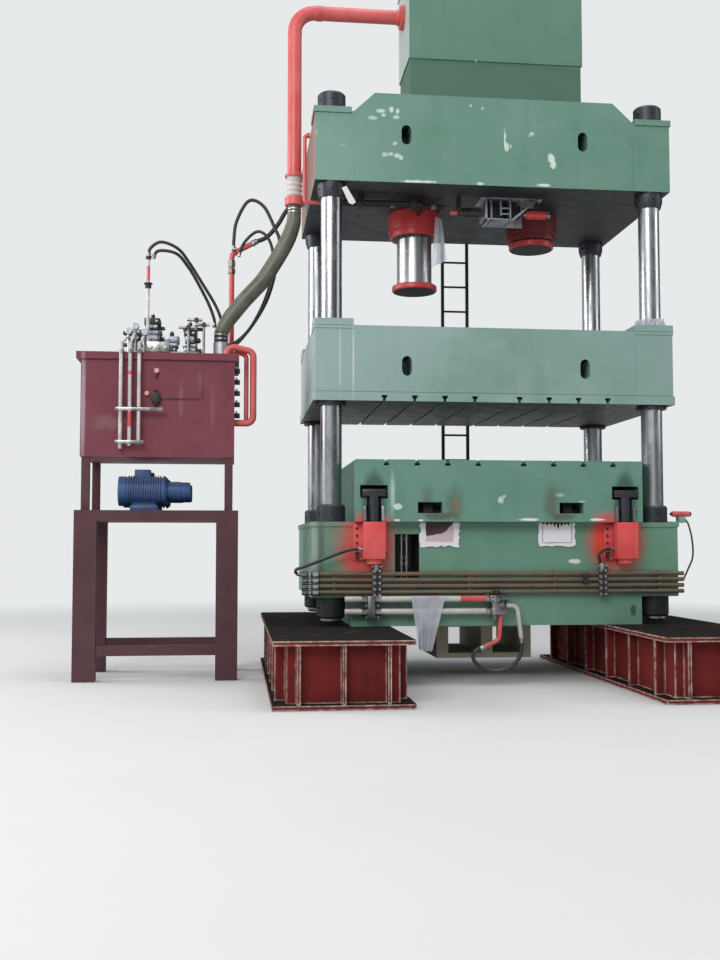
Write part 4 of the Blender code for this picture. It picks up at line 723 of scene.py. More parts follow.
# %% Primer, enamel and the other paints
# On the stands the faces turned up are darkened nearly to black.
stand_primer = painted(
    "stand_primer", (0.130, 0.016, 0.015), (0.20, 0.022, 0.018), (0.050, 0.012, 0.011),
    gloss=0.62, edge=(0.78, 0.74, 0.64), edge_share=0.9, rust=0.25, dust=3.0, edge_width=0.026,
    on_top=(0.010, 0.010, 0.009), shine=0.12,
)
unit_primer = painted(
    "power_unit_primer", (0.165, 0.033, 0.048), (0.195, 0.052, 0.072), (0.125, 0.022, 0.032),
    [
        ((0.26, 0.10, 0.12), 0.4, -2.92, 0.83, 0.03, 0.08, 1.2, 0.6),
        ((0.30, 0.14, 0.15), 0.35, -3.12, 0.62, 0.02, 0.16, 1.2, 0.6),
        ((0.30, 0.14, 0.15), 0.3, -2.80, 0.55, 0.02, 0.20, 1.2, 0.6),
        ((0.26, 0.16, 0.15), 0.35, -3.83, 0.40, 0.18, 0.06, 1.4, 0.6),
        ((0.035, 0.014, 0.018), 0.85, -3.12, 0.645, 0.21, 0.012, 0.4, 0.6),
        ((0.08, 0.02, 0.03), 0.6, -2.90, 0.76, 0.012, 0.14, 0.5, 0.6),
        # A pale upright strip at the unit's left edge: a painted highlight.
        ((0.42, 0.34, 0.37), 0.7, -4.085, 0.60, 0.022, 0.55, 0.4, 0.6),
    ],
    -0.3, gloss=0.48, edge=(0.34, 0.16, 0.18), rust=0.12, dust=0.7, shine=0.3,
)
frame_primer = painted(
    "unit_frame_primer", (0.085, 0.036, 0.042), (0.115, 0.055, 0.060), (0.045, 0.020, 0.024),
    gloss=0.55, edge=(0.24, 0.14, 0.14), rust=0.3, dust=0.3, on_top=(0.040, 0.020, 0.024),
    shine=0.2,
)
red_enamel = painted(
    "red_enamel", (0.56, 0.075, 0.072), (0.64, 0.15, 0.145), (0.40, 0.035, 0.04),
    gloss=0.3, edge=(0.68, 0.30, 0.27), dust=0.3,
)
clamp_enamel = painted(
    "clamp_enamel", (0.66, 0.070, 0.070), (0.72, 0.14, 0.13), (0.50, 0.03, 0.03),
    gloss=0.34, edge=(0.74, 0.36, 0.33), dust=0.2, shine=0.35,
)
gland_enamel = painted(
    "gland_enamel", (0.52, 0.036, 0.042), (0.64, 0.07, 0.07), (0.30, 0.022, 0.026),
    gloss=0.28, edge=(0.70, 0.22, 0.2), dust=0.3,
)
# The right gland's enamel is a darker copy of gland_enamel: painted shade for the shadow it hangs
# in.
gland_enamel_painted_shade = painted(
    "gland_enamel_in_painted_shade", (0.15, 0.018, 0.020), (0.26, 0.030, 0.032), (0.06, 0.012, 0.013),
    gloss=0.34, edge=(0.45, 0.16, 0.15), edge_share=0.4, dust=0.3,
)
blue_enamel = painted(
    "motor_blue", (0.025, 0.075, 0.22), (0.05, 0.12, 0.30), (0.012, 0.03, 0.09),
    gloss=0.4, edge=(0.2, 0.22, 0.26), dust=0.7,
)
ladder_black = painted(
    "ladder_black", (0.018, 0.018, 0.019), (0.04, 0.038, 0.036), (0.008, 0.008, 0.008),
    gloss=0.5, edge=(0.22, 0.16, 0.12), rust=0.3,
)
housing_primer = painted(
    "housing_primer", (0.30, 0.27, 0.20), (0.40, 0.37, 0.30), (0.12, 0.10, 0.07),
    gloss=0.62, edge=(0.2, 0.17, 0.13), rust=0.35, dust=0.6,
)
print("paints:", len(bpy.data.materials))

# %% [markdown]
# Bare metals: chrome on columns and rams, oily black steel on nuts, dull pipe that has started to
# rust, and bright plated fittings. What tells them apart is their tone and how far the roughness
# varies.

# %% Metals


def bare_metal(name, bright, dark, reflection_share, base_rough=None):
    """Metal with streaks and painted reflection bands along its length, and its own roughness where
    one is given.
    """
    material, tree, shader = new_material(name, Metallic=1.0)
    film = effect(tree, wipes_and_painted_reflections, Bright=bright, Dark=dark, Oil=reflection_share)
    rough = film["Roughness"]
    if base_rough is not None:
        rough = maths(tree, "MULTIPLY_ADD", cloud(tree, 30, 4, 0.6), 0.25, base_rough)
    relief = cloud(tree, 160, 2, 0.5, (1, 1, 0.2))
    surface(tree, shader, film["Colour"], rough, relief, 0.06, 0.001)
    return material


def rusty_metal(name, colour, rust, roughness, metallic):
    """Steel under oil and rust."""
    material, tree, shader = new_material(name, Metallic=metallic)
    spread = effect(tree, rust_islands, Scale=13.0, Amount=rust)
    worn = effect(tree, broken_edges, Width=0.004, Ragged=0.7)["Mask"]
    grit = effect(tree, settled_dust, Amount=0.45)["Mask"]
    dim, lit = (tuple(share * value for value in colour) for share in (0.6, 1.35))
    tone = blend_colour(tree, cloud(tree, 8, 5, 0.65), dim, lit)
    for share, layer in (
        (spread["Mask"], spread["Colour"]), (times(tree, worn, 0.6), (0.34, 0.33, 0.32)),
        (grit, (0.28, 0.27, 0.25)),
    ):
        tone = blend_colour(tree, share, tone, layer)
    rough = maths(tree, "MULTIPLY_ADD", spread["Mask"], 0.3, roughness)
    rough = maths(tree, "MULTIPLY_ADD", cloud(tree, 35, 4), 0.2, rough, clamp=True)
    relief = maths(tree, "ADD", cloud(tree, 90, 4, 0.6), spread["Mask"])
    surface(tree, shader, tone, rough, relief, 0.25, 0.002)
    return material


column_chrome = bare_metal("column_chrome", (0.55, 0.565, 0.59), (0.20, 0.205, 0.22), 0.75)
ram_chrome = bare_metal("ram_chrome", (0.70, 0.72, 0.735), (0.20, 0.205, 0.215), 0.7)
plated = bare_metal("plated_fittings", (0.52, 0.525, 0.52), (0.16, 0.16, 0.16), 0.8, 0.26)
valve_metal = bare_metal("valve_block_metal", (0.36, 0.38, 0.43), (0.09, 0.10, 0.13), 0.9, 0.30)
bracket_metal = bare_metal("bracket_metal", (0.56, 0.57, 0.62), (0.26, 0.27, 0.31), 0.6, 0.42)
nut_steel = rusty_metal("oiled_nut_steel", (0.036, 0.040, 0.048), 0.12, 0.34, 0.45)
foot_steel = rusty_metal("foot_nut_steel", (0.010, 0.010, 0.011), 0.05, 0.5, 0.2)
bush_steel = rusty_metal("guide_bush_steel", (0.010, 0.010, 0.012), 0.05, 0.42, 0.2)
clamp_bolt_steel = rusty_metal("clamp_bolt_steel", (0.06, 0.02, 0.022), 0.3, 0.5, 0.3)
wheel_steel = rusty_metal("wheel_steel", (0.075, 0.07, 0.066), 0.45, 0.5, 0.7)
bed_pipe_steel = rusty_metal("bed_pipe_steel", (0.155, 0.115, 0.075), 0.62, 0.5, 0.35)
dark_steel = rusty_metal("dark_steel", (0.04, 0.04, 0.042), 0.3, 0.5, 0.6)
cushion_pipe = rusty_metal("cushion_pipe", (0.52, 0.50, 0.46), 0.55, 0.4, 0.15)
print("metals ready")

# %% [markdown]
# Rubber and plastic: black hose with a dusty bloom, the big suction hose in a milky olive plastic,
# the pale rubber joint, white-painted pipe, and the film that masks the rail seats. They are not
# metal, and their interest is in the bloom and the handling marks.

# %% Rubber, plastic and film


def bloomed(name, colour, bloom, amount, roughness, grain=60.0, see_through=0.0):
    """Rubber or plastic with a pale bloom over it; a film lets part of the view through."""
    material, tree, shader = new_material(name, Alpha=1.0 - see_through)
    film = rescale(tree, cloud(tree, 6, 5, 0.65), 0.35, 0.72)
    tone = blend_colour(tree, times(tree, film, amount), colour, bloom)
    tone = blend_colour(tree, effect(tree, settled_dust, Amount=0.6)["Mask"], tone, DUST)
    rough = maths(tree, "MULTIPLY_ADD", film, 0.22, roughness, clamp=True)
    surface(tree, shader, tone, rough, cloud(tree, grain, 3), 0.18, 0.002)
    return material


black_rubber = bloomed("black_rubber", (0.011, 0.011, 0.012), (0.07, 0.07, 0.068), 0.5, 0.42)
suction_plastic = bloomed(
    "suction_plastic", (0.085, 0.085, 0.058), (0.20, 0.20, 0.165), 0.6, 0.34, 25
)
joint_rubber = bloomed("joint_rubber", (0.52, 0.49, 0.47), (0.68, 0.62, 0.61), 0.6, 0.55)
white_pipe = bloomed("white_pipe", (0.40, 0.36, 0.36), (0.74, 0.71, 0.70), 0.95, 0.38, 26)
masking_film = bloomed("masking_film", (0.80, 0.78, 0.80), (0.70, 0.66, 0.70), 0.5, 0.3, 12)
clear_plastic = bloomed(
    "clear_plastic", (0.42, 0.44, 0.50), (0.62, 0.64, 0.70), 0.8, 0.25, 9, see_through=0.3
)
pink_film = bloomed("pink_film", (0.62, 0.48, 0.53), (0.50, 0.36, 0.42), 0.6, 0.35, 12)
torn_primer = bloomed("torn_primer", (0.055, 0.018, 0.026), (0.09, 0.035, 0.045), 0.6, 0.5, 14)
paper = bloomed("tag_paper", (0.62, 0.62, 0.60), (0.74, 0.74, 0.72), 0.5, 0.7)
black_plastic = bloomed("black_plastic", (0.014, 0.014, 0.016), (0.05, 0.05, 0.052), 0.5, 0.35)
gauge_paper = bloomed("gauge_paper", (0.30, 0.35, 0.42), (0.72, 0.75, 0.80), 0.9, 0.15, 40)
gauge_glass = bloomed("gauge_glass", (0.62, 0.30, 0.24), (0.7, 0.45, 0.38), 0.5, 0.15)
print("materials:", len(bpy.data.materials))

# %% [markdown]
# ## The beams
# The beams' solids already have the right plates, holes and slots, so they stay and only take
# their paint.

# %% Paint the solids that stay
for node, finish, slot in (
    ("crown", crown_paint, "green_paint"),
    ("slide", slide_paint, "pale_green_paint"),
    ("bolster", bolster_paint, "green_paint"),
    ("bed", bed_paint, "green_paint"),
    ("head_tank", tank_paint, "green_paint"),
    ("stand_left", stand_primer, "maroon_paint"),
    ("stand_right", stand_primer, "maroon_paint"),
    ("unit_frame", frame_primer, "maroon_paint"),
    ("unit_tank", unit_primer, "maroon_paint"),
    ("cushion_housing", housing_primer, "grey_paint"),
):
    nodes[node].data.materials.clear()
    nodes[node].data.materials.append(finish)
print("solids painted")

# %% [markdown]
# ## Columns and nuts
# Each column is one forged bar, ground and chromed, with a big round nut above and below each
# fixed beam. The solid has only a few sides, which chrome would show at once, so a fine turned bar
# takes its place. The bar ends in a chamfer and a tapped hole for lifting it.

# %% Turn the columns
CORNERS = ["front_left", "front_right", "back_left", "back_right"]
COLUMN_R, NUT_R, NUT_H, FOOT_NUT_H = 0.105, 0.14, 0.17, 0.20
crown_low, bed_top = crown[0].z, bed[1].z
wing_low = bed_top - 0.732
axes = {corner: middle_of(f"column_{corner}") for corner in CORNERS}
axis_x, axis_y = axes["front_left"].xy
column_low, column_high = (point.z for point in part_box("column_front_left"))


def at_corner(piece, corner):
    """The front left piece itself, or a copy of it at another column."""
    if corner == "front_left":
        return piece
    return copied(piece, (axes[corner].x - axis_x, axes[corner].y - axis_y, 0))


column_bar = turned(
    [
        (COLUMN_R - 0.02, column_low), (COLUMN_R, column_low + 0.02),
        (COLUMN_R, column_high - 0.014), (COLUMN_R - 0.014, column_high), (0.036, column_high),
        (0.030, column_high - 0.008), (0.030, column_high - 0.09),
    ],
    (axis_x, axis_y, 0), 96,
)
column_bars = {corner: at_corner(column_bar, corner) for corner in CORNERS}
for corner, piece in column_bars.items():
    settle(f"column_bar_{corner}", piece, column_chrome, "hard_chrome", (f"column_{corner}",))
print("columns run from", round(column_low, 3), "to", round(column_high, 3))

# %% [markdown]
# A column nut is turned, chamfered, and drilled round its side for a hook spanner. The nuts are
# made in halves held by two bolts, so that they go on past the chrome, which leaves an upright
# split line at each side. One nut is modelled and copied to every seat.

# %% Turn the nuts


def column_nut(low, height, chamfer_top=True, taper=0.0):
    """A split round nut about the front left column, with its spanner holes."""
    inner, high = COLUMN_R + 0.0004, low + height
    top, foot = (0.018, 0.003) if chamfer_top else (0.003, 0.018)
    nut = turned(
        [
            (inner, low), (NUT_R - foot, low), (NUT_R, low + foot + taper), (NUT_R, high - top),
            (NUT_R - top, high), (inner, high),
        ],
        (axis_x, axis_y, 0), 80, ring=True,
    )
    centre = Vector((axis_x, axis_y, (low + high) / 2))
    for number in range(6):
        angle = math.radians(30 + 60 * number)
        out = Vector((math.cos(angle), math.sin(angle), 0))
        cut(nut, rod(centre + out * (NUT_R - 0.022), centre + out * (NUT_R + 0.02), 0.013, 16))
    for side in (-1, 1):
        depth = (axis_y + side * (NUT_R - 0.012), axis_y + side * (NUT_R + 0.02))
        cut(nut, block((axis_x - 0.0015, axis_x + 0.0015), depth, (low - 0.02, high + 0.02), 0))
    return nut


for seat, nut, finish in (
    ("nut_top", column_nut(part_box("top_nut_front_left")[0].z, NUT_H), nut_steel),
    ("nut_under_crown", column_nut(crown_low - 0.145, 0.145, False, 0.045), nut_steel),
    ("nut_on_bed", column_nut(bed_top + 0.0004, NUT_H), nut_steel),
    ("nut_under_bed", column_nut(wing_low - FOOT_NUT_H, FOOT_NUT_H, False), foot_steel),
):
    for corner in CORNERS:
        stands_for = (f"top_nut_{corner}",) if seat == "nut_top" else ()
        piece = at_corner(nut, corner)
        settle(f"{seat}_{corner}", piece, finish, "dark_steel", stands_for, smooth=25)
print("four nuts on each column")

# %% [markdown]
# The slide runs on bronze-lined bushes whose black flanges hang under it. The flange is a turned
# ring with a wiper lip, bolted up from below.

# %% Turn the guide bushes
bush_low, bush_high = (point.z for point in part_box("guide_bush_front_left"))
slide_low = slide[0].z
bore = COLUMN_R + 0.001
bush = turned(
    [
        (bore, bush_high), (bore + 0.034, bush_high), (bore + 0.034, slide_low),
        (0.150, slide_low), (0.150, bush_low + 0.004), (0.146, bush_low),
        (bore + 0.012, bush_low), (bore + 0.004, bush_low + 0.008), (bore, bush_low + 0.008),
    ],
    (axis_x, axis_y, 0), 80, ring=True,
)
bush_bolts = bolt_circle((axis_x, axis_y, bush_low - 0.001), 0.135, 8, (0.008, 0.007), first=0.2)
bush = joined([bush, *bush_bolts])
for corner in CORNERS:
    piece, stands_for = at_corner(bush, corner), (f"guide_bush_{corner}",)
    settle(f"bush_{corner}", piece, bush_steel, "dark_steel", stands_for, "slide")
print("guide bushes hang from", round(slide_low, 3))

# %% [markdown]
# ## Cylinders and rams
# The press cylinders sit in the crown. Below it hang their packing glands, thick red rings with a
# bolted retainer. The left ram has come down half a metre under its own weight; the right one is
# all the way up. Neither is bolted to the slide yet.

# %% Turn the cylinders
RAM_R = 0.187
# The right gland takes the darker copy of the enamel, which is painted shade.
for hand, coat in (("left", gland_enamel), ("right", gland_enamel_painted_shade)):
    bottom, top = (point.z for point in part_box(f"cylinder_{hand}"))
    x, y = middle_of(f"cylinder_{hand}").xy
    shoulder = crown_low - 0.0003
    barrel = turned(
        [
            (RAM_R + 0.001, bottom + 0.004), (RAM_R + 0.004, bottom), (0.262, bottom),
            (0.268, bottom + 0.006), (0.268, bottom + 0.055), (0.262, bottom + 0.062),
            (0.262, bottom + 0.070), (0.276, bottom + 0.070), (0.280, bottom + 0.074),
            (0.280, shoulder - 0.006), (0.276, shoulder), (0.250, shoulder),
            (0.250, top - 0.01), (0.240, top), (0.06, top), (0.05, top - 0.006),
            (0.05, top - 0.04), (RAM_R + 0.001, top - 0.04),
        ],
        (x, y, 0), 112, ring=True,
    )
    settle(f"cylinder_body_{hand}", barrel, coat, "red_paint", (f"cylinder_{hand}",))
    retainer = turned(
        [
            (RAM_R + 0.0015, bottom + 0.002), (RAM_R + 0.0015, bottom - 0.005),
            (0.236, bottom - 0.005), (0.240, bottom - 0.002), (0.240, bottom + 0.002),
        ],
        (x, y, 0), 96, ring=True,
    )
    settle(f"gland_retainer_{hand}", retainer, black_plastic, "dark_steel")
    bolts = bolt_circle((x, y, bottom - 0.0105), 0.222, 20, (0.009, 0.007), first=0.1)
    settle(f"gland_bolts_{hand}", bolts, plated, "pipe_steel")
print("glands end at", round(bottom, 3))

# %% Turn the rams and their flanges
for hand in ("left", "right"):
    ram = f"ram_{hand}"
    low, high = (point.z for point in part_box(ram))
    place = (*middle_of(ram).xy, 0)
    shaft = turned(
        [
            (0.03, low), (RAM_R - 0.004, low), (RAM_R, low + 0.004), (RAM_R, high - 0.012),
            (RAM_R - 0.012, high), (0.03, high),
        ],
        place, 112,
    )
    settle(f"ram_bar_{hand}", shaft, ram_chrome, "hard_chrome", (ram,), ram)
    low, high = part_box(f"ram_flange_{hand}")
    radius = (high.x - low.x) / 2
    flange = turned(
        [
            (0.04, low.z + 0.004), (0.06, low.z), (radius - 0.010, low.z),
            (radius, low.z + 0.010), (radius, high.z - 0.012), (radius - 0.012, high.z),
            (0.04, high.z),
        ],
        place, 96,
    )
    stands_for = (f"ram_flange_{hand}",)
    settle(f"ram_end_flange_{hand}", flange, gland_enamel, "red_paint", stands_for, ram)
    seat = turned([(radius - 0.016, low.z + 0.001), (radius - 0.02, low.z - 0.003)], place, 80)
    settle(f"ram_seat_{hand}", seat, dark_steel, "dark_steel", body=ram)
print("rams turned")

# %% [markdown]
# ## Bolster clamps
# Each clamp is a small cylinder in a square red body on the bed's face. Its rod comes up through
# the bolster's channel and spreads in a T-head that pulls the table down. Pale liner bars guide
# the rod at the channel's mouth.

# %% Build the clamps
for corner in CORNERS:
    face = -1 if corner.startswith("front") else 1
    low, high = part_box(f"clamp_body_{corner}")
    x, rod_y = middle_of(f"clamp_body_{corner}").x, middle_of(f"clamp_bolt_{corner}").y
    top, boss_low, body_low = high.z, low.z, low.z + 0.05
    case = block((low.x, high.x), (low.y, high.y), (body_low, top), 0.007)
    cut(case, bar((x, rod_y, top - 0.21), "Z", 0.23, 0.0565, 48))
    boss_profile = [
        (0.03, boss_low), (0.064, boss_low), (0.07, boss_low + 0.006), (0.07, body_low + 0.004)
    ]
    boss = turned(boss_profile, (x, rod_y, 0), 40)
    boss_bolts = bolt_circle((x, rod_y, boss_low - 0.002), 0.045, 6, (0.008, 0.006))
    foot_depth = (face * 1.0805, face * 1.112)
    foot = block((x - 0.185, x + 0.135), foot_depth, (body_low - 0.01, top - 0.02))
    fixings = [
        bar((x + across, face * 1.110, body_low + up), "Y", face * 0.040, 0.020, 6, 0.003)
        for across in (-0.155, 0.120) for up in (0.015, 0.055)
    ] + [
        bar((x - 0.155, face * 1.110, top - down), "Y", face * 0.018, 0.014, 6, 0.002)
        for down in (0.06, 0.13, 0.20)
    ]
    settle(f"clamp_fixings_{corner}", fixings, clamp_bolt_steel, "dark_steel")
    mouth = face * (bolster[1].y + 0.0003)
    liners = []
    for middle in (x - 0.088, x + 0.088):
        span, depth = (middle - 0.014, middle + 0.014), (mouth, mouth + face * 0.022)
        liners.append(block(span, depth, (top + 0.006, top + 0.15), 0.003))
        bolt_foot = (middle, mouth + face * 0.02, top + 0.12)
        liners.append(bar(bolt_foot, "Y", face * 0.012, 0.012, 6, 0.002))
    settle(f"clamp_liners_{corner}", liners, plated, "pipe_steel", body="bolster")
    stands_for = (f"clamp_body_{corner}",)
    case_bits = [case, boss, *boss_bolts, foot]
    settle(f"clamp_case_{corner}", case_bits, clamp_enamel, "red_paint", stands_for)
    bolt = f"clamp_bolt_{corner}"
    low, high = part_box(bolt)
    head = block((low.x, high.x), (low.y, high.y), (high.z - 0.0692, high.z), 0.006)
    stem_profile = [(0.045, low.z), (0.055, low.z + 0.008), (0.055, high.z - 0.06)]
    stem = turned(stem_profile, (x, rod_y, 0), 56)
    settle(f"clamp_rod_{corner}", [head, stem], nut_steel, "dark_steel", (bolt,), bolt)
print("clamps:", len(CORNERS))

# %% [markdown]
# ## Wheels under the bolster
# Two axles carry the table. The wheels are plain rolled steel with a tread and a hub, half hidden
# in their bays, and they turn as the table rolls out.

# %% Turn the wheelsets
for where in ("front", "back"):
    wheelset = f"wheelset_{where}"
    low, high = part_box(wheelset)
    half = (high.x - low.x) / 2
    profile = [(0.028, -half), (0.035, -half + 0.006)]
    for middle in (-0.70, 0.70):
        left_side = [(0.035, -0.055), (0.052, -0.050), (0.088, -0.046), (0.110, -0.044)]
        right_side = [(radius, -across) for radius, across in reversed(left_side)]
        profile += [(radius, middle + across) for radius, across in left_side + right_side]
    profile += [(0.035, half - 0.006), (0.028, half)]
    wheels = turned(profile, (0, *middle_of(wheelset).yz), 48, "X")
    name = f"axle_and_wheels_{where}"
    settle(name, wheels, wheel_steel, "dark_steel", (wheelset,), wheelset)
print("wheelsets turned")

# %% [markdown]
# ## The pipe from the head tank
# A red pipe of about 150 mm leaves the tank's side at a flange, turns down past the crown's end,
# and ends in a pale rubber joint. From there the big suction hose hangs in a long curve to the
# power unit's lid. The joint takes up the shaking of the unit, so it is ribbed.

# %% Bend the pipe and turn its flanges
low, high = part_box("prefill_pipe")
tank_side, pipe_end = high.x, low.z
pipe_x, pipe_up = middle_of("expansion_joint").x, crown[1].z + 1.305
run = bends([(tank_side, 0, pipe_up), (pipe_x, 0, pipe_up), (pipe_x, 0, pipe_end)], 0.22, 14)
prefill = [pipe(run, 0.075, 14)]
for start, length, radius in (
    (tank_side, 0.022, 0.13), (tank_side - 0.024, 0.021, 0.128), (tank_side - 0.046, 0.03, 0.083),
    (pipe_x + 0.30, 0.07, 0.081),
):
    prefill.append(bar((start, 0, pipe_up), "X", -length, radius, 56, 0.003))
prefill += [
    bar((pipe_x, 0, pipe_up - 0.225), "Z", -0.012, 0.078, 48, 0.004),
    bar((pipe_x, 0, pipe_end + 0.028), "Z", -0.028, 0.102, 56, 0.003),
    *bolt_circle((tank_side - 0.046, 0, pipe_up), 0.106, 8, (0.012, 0.012), "X", 0.3),
]
settle("prefill_run", prefill, red_enamel, "red_paint", ("prefill_pipe",))
print("pipe leaves the tank at", round(pipe_up - FLOOR, 2), "m above the floor")

# %% Turn the ribbed joint
RIBS = 4
joint_low, joint_high = (point.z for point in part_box("expansion_joint"))
pitch = 0.215 / RIBS
profile = [(0.05, joint_high - 0.001), (0.086, joint_high - 0.001)]
for number in range(RIBS):
    z = joint_high - 0.004 - number * pitch
    rib = ((0.074, 0.2), (0.083, 0.5), (0.083, 0.62), (0.074, 0.9))
    profile += [(radius, z - share * pitch) for radius, share in rib]
profile += [(0.078, joint_low + 0.092), (0.05, joint_low + 0.092)]
joint = turned(profile, (pipe_x, 0, 0), 56)
settle("rubber_joint", joint, joint_rubber, "grey_rubber", ("expansion_joint",))
flange = turned(
    [
        (0.05, joint_low), (0.098, joint_low), (0.102, joint_low + 0.006),
        (0.102, joint_low + 0.084), (0.098, joint_low + 0.090), (0.05, joint_low + 0.090),
    ],
    (pipe_x, 0, 0), 56,
)
settle("joint_red_flange", flange, red_enamel, "red_paint")
print("joint with", RIBS, "ribs")

# %% [markdown]
# The suction hose is plastic with a hard spiral wound into its wall. The wall swells a little at
# each turn, which a curve gives when its radius is raised at every other point. Clamps hold its
# ends.

# %% Hang the suction hose
lid = oil_tank[1].z
suction_x = middle_of("unit_tank").x + 0.619
route = flowing(
    steps_from(
        (pipe_x, 0, joint_low), (0, 0, -0.0003), (0, 0, -0.08), (-0.010, 0, -0.20),
        (-0.070, 0, -0.37), (-0.165, 0, -0.55), (-0.320, 0, -0.80), (-0.430, 0, -0.93),
        (-0.538, 0, -1.05),
    ) + steps_from(
        (suction_x, 0, lid), (0.080, 0, 0.255), (0.012, 0, 0.135), (0, 0, 0.08), (0, 0, 0.0003)
    ),
    0.011,
)
last = len(route) - 1


def hose_swell(number):
    """The wall bulges between the clamps, and at each turn of its spiral."""
    middle = min(1.0, 5 * min(number, last - number) / last)
    return (1.0 + 0.22 * middle) * (1.0 if number % 2 else 0.965)


hose = pipe(route, 0.0695, 12, hose_swell)
settle("suction_hose_wall", hose, suction_plastic, "black_rubber", ("suction_hose",), smooth=60)
settle("suction_hose_cuff", pipe(route[-14:-1], 0.073, 12), black_rubber, "black_rubber")
bands = []
for index in (3, 6, -9, -5):
    start, after = route[index], route[index + 1]
    bands.append(rod(start, start + (after - start).normalized() * 0.014, 0.0755, 48, 0.002))
settle("suction_hose_bands", bands, plated, "pipe_steel")
print("hose:", len(route), "points")

# %% [markdown]
# ## Small pipes on the press
# Thin red pipe drains the crown. Pressure pipes run under the crown on saddles to the cylinders.
# Across the bed's front lie four long pipes that are still bare and rusty, with plated clamps
# under each red clamp body, and below them the two cushion lines.

# %% Pipes of the crown
low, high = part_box("drain_pipe")
y, drain_x = middle_of("drain_pipe").y, low.x + 0.021
drain_top, drain_foot = high.z - 0.021, low.z + 0.021
drain_run = bends(
    [
        (crown[0].x - 0.0003, y, drain_top), (drain_x, y, drain_top), (drain_x, y, drain_foot),
        (high.x, y, drain_foot),
    ],
    0.035,
)
drain = [pipe(drain_run, 0.0205), bar((crown[0].x, y, drain_top), "X", -0.03, 0.031, 6, 0.002)]
settle("drain_run", drain, red_enamel, "red_paint", ("drain_pipe",))

low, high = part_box("crown_pipes")
line_z = crown_low - 0.055
second_z = line_z - 0.01
second_points = [
    (low.x, -0.62, second_z), (-0.65, -0.62, second_z), (-0.65, -0.2803, second_z)
]
crown_lines = [
    pipe([(low.x, -0.50, line_z), (high.x, -0.50, line_z)], 0.0205),
    pipe(bends(second_points, 0.06), 0.0235),
]
for x in (-1.30, -0.75):
    crown_lines.append(
        block((x - 0.03, x + 0.03), (-0.66, -0.46), (line_z - 0.045, crown_low - 0.001), 0.006)
    )
    for y in (-0.56, -0.645):
        crown_lines.append(bar((x, y, line_z - 0.044), "Z", -0.009, 0.009, 6, 0.001))
unions = [bar((x, -0.50, line_z), "X", 0.05, 0.029, 6, 0.003) for x in (-0.98, -0.55)]
stub = bar((-0.37, -0.60, crown_low - 0.14), "X", 0.12, 0.026, 32, 0.004)
jack = [
    bar((-0.25, -0.60, crown_low - 0.135), "X", 0.21, 0.048, 32, 0.008),
    block((-0.30, -0.26), (-0.63, -0.57), (crown_low - 0.17, crown_low - 0.001), 0.005),
]
settle("crown_lines", crown_lines, dark_steel, "pipe_steel", ("crown_pipes",))
settle("crown_unions", unions, plated, "pipe_steel")
settle("jack_stub", stub, red_enamel, "red_paint")
settle("jack_case", jack, black_plastic, "dark_steel")
print("crown pipes run")

# %% Pipes across the bed
PIPE_PITCH = 0.058
low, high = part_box("bed_pipes")
bed_face = bed[0].y + 0.012
on_face = bed_face - 0.0005
pipe_y, top_line = bed_face - 0.055, bed_top - 0.503
line_left, nipple_x = low.x, clamp_right - 0.235
levels = [top_line - number * PIPE_PITCH for number in range(4)]
bed_lines = [pipe([(low.x, pipe_y, z), (high.x, pipe_y, z)], 0.021) for z in levels]
bed_lines.append(bar((nipple_x, pipe_y, top_line), "Z", 0.06, 0.018, 24, 0.002))
settle("bed_lines", bed_lines, bed_pipe_steel, "pipe_steel", ("bed_pipes",))
holders = [
    block((x - 0.016, x + 0.016), (pipe_y, on_face), (levels[3] - 0.029, top_line + 0.030))
    for x in (-1.62, -0.30, 0.55, 1.62)
]
settle("bed_line_holders", holders, bed_pipe_steel, "dark_steel")
junction = [
    bar((0.845, pipe_y - 0.01, top_line - drop), "Y", -0.052, 0.027, 8, 0.004)
    for drop in (0.019, 0.075)
]
settle("pipe_junction", junction, black_plastic, "dark_steel")
print("bed lines at", round(top_line - FLOOR, 2), "m")

# %% [markdown]
# Under each clamp the pipes are gripped by a plated stack: a plate with two bolts at every pipe
# and an elbow on top. A stack is modelled once and copied. The pipes' left ends carry hose
# couplings.

# %% Plated stacks and couplings
STACK_X, TO_RIGHT_STACK = -1.185, (2.235, 0, 0)
plates, heads = [], []
for number in range(5):
    z = top_line + 0.029 - number * PIPE_PITCH
    span, depth = (STACK_X - 0.070, STACK_X + 0.020), (pipe_y - 0.034, pipe_y - 0.022)
    plates.append(block(span, depth, (z - 0.020, z + 0.020)))
    heads.append(bar((STACK_X - 0.050, pipe_y - 0.030, z), "Y", -0.024, 0.019, 6, 0.003))
    heads.append(bar((STACK_X, pipe_y - 0.030, z), "Y", -0.018, 0.014, 6, 0.002))
span, depth = (STACK_X - 0.036, STACK_X - 0.016), (pipe_y - 0.042, pipe_y - 0.028)
plates.append(block(span, depth, (top_line - 0.215, top_line + 0.05), 0.003))
elbow_y = pipe_y - 0.02
heads += [
    bar((STACK_X - 0.03, elbow_y, top_line + 0.03), "Z", 0.075, 0.026, 8, 0.004),
    bar((STACK_X - 0.08, elbow_y, top_line + 0.075), "X", 0.11, 0.018, 16, 0.003),
]
for name, bits, finish, slot in (
    ("pipe_saddles", plates, dark_steel, "dark_steel"),
    ("saddle_heads", heads, plated, "pipe_steel"),
):
    left_piece = joined(bits)
    right_piece = copied(left_piece, TO_RIGHT_STACK)
    settle(f"{name}_left", left_piece, finish, slot)
    settle(f"{name}_right", right_piece, finish, slot)
couplings = [
    bar((line_left + start, pipe_y, z), "X", length, radius * 0.92, 6, 0.003)
    for z in levels
    for start, length, radius in ((0.0, 0.05, 0.03), (0.055, 0.035, 0.026), (0.10, 0.06, 0.031))
]
settle("bed_line_couplings", couplings, plated, "pipe_steel")
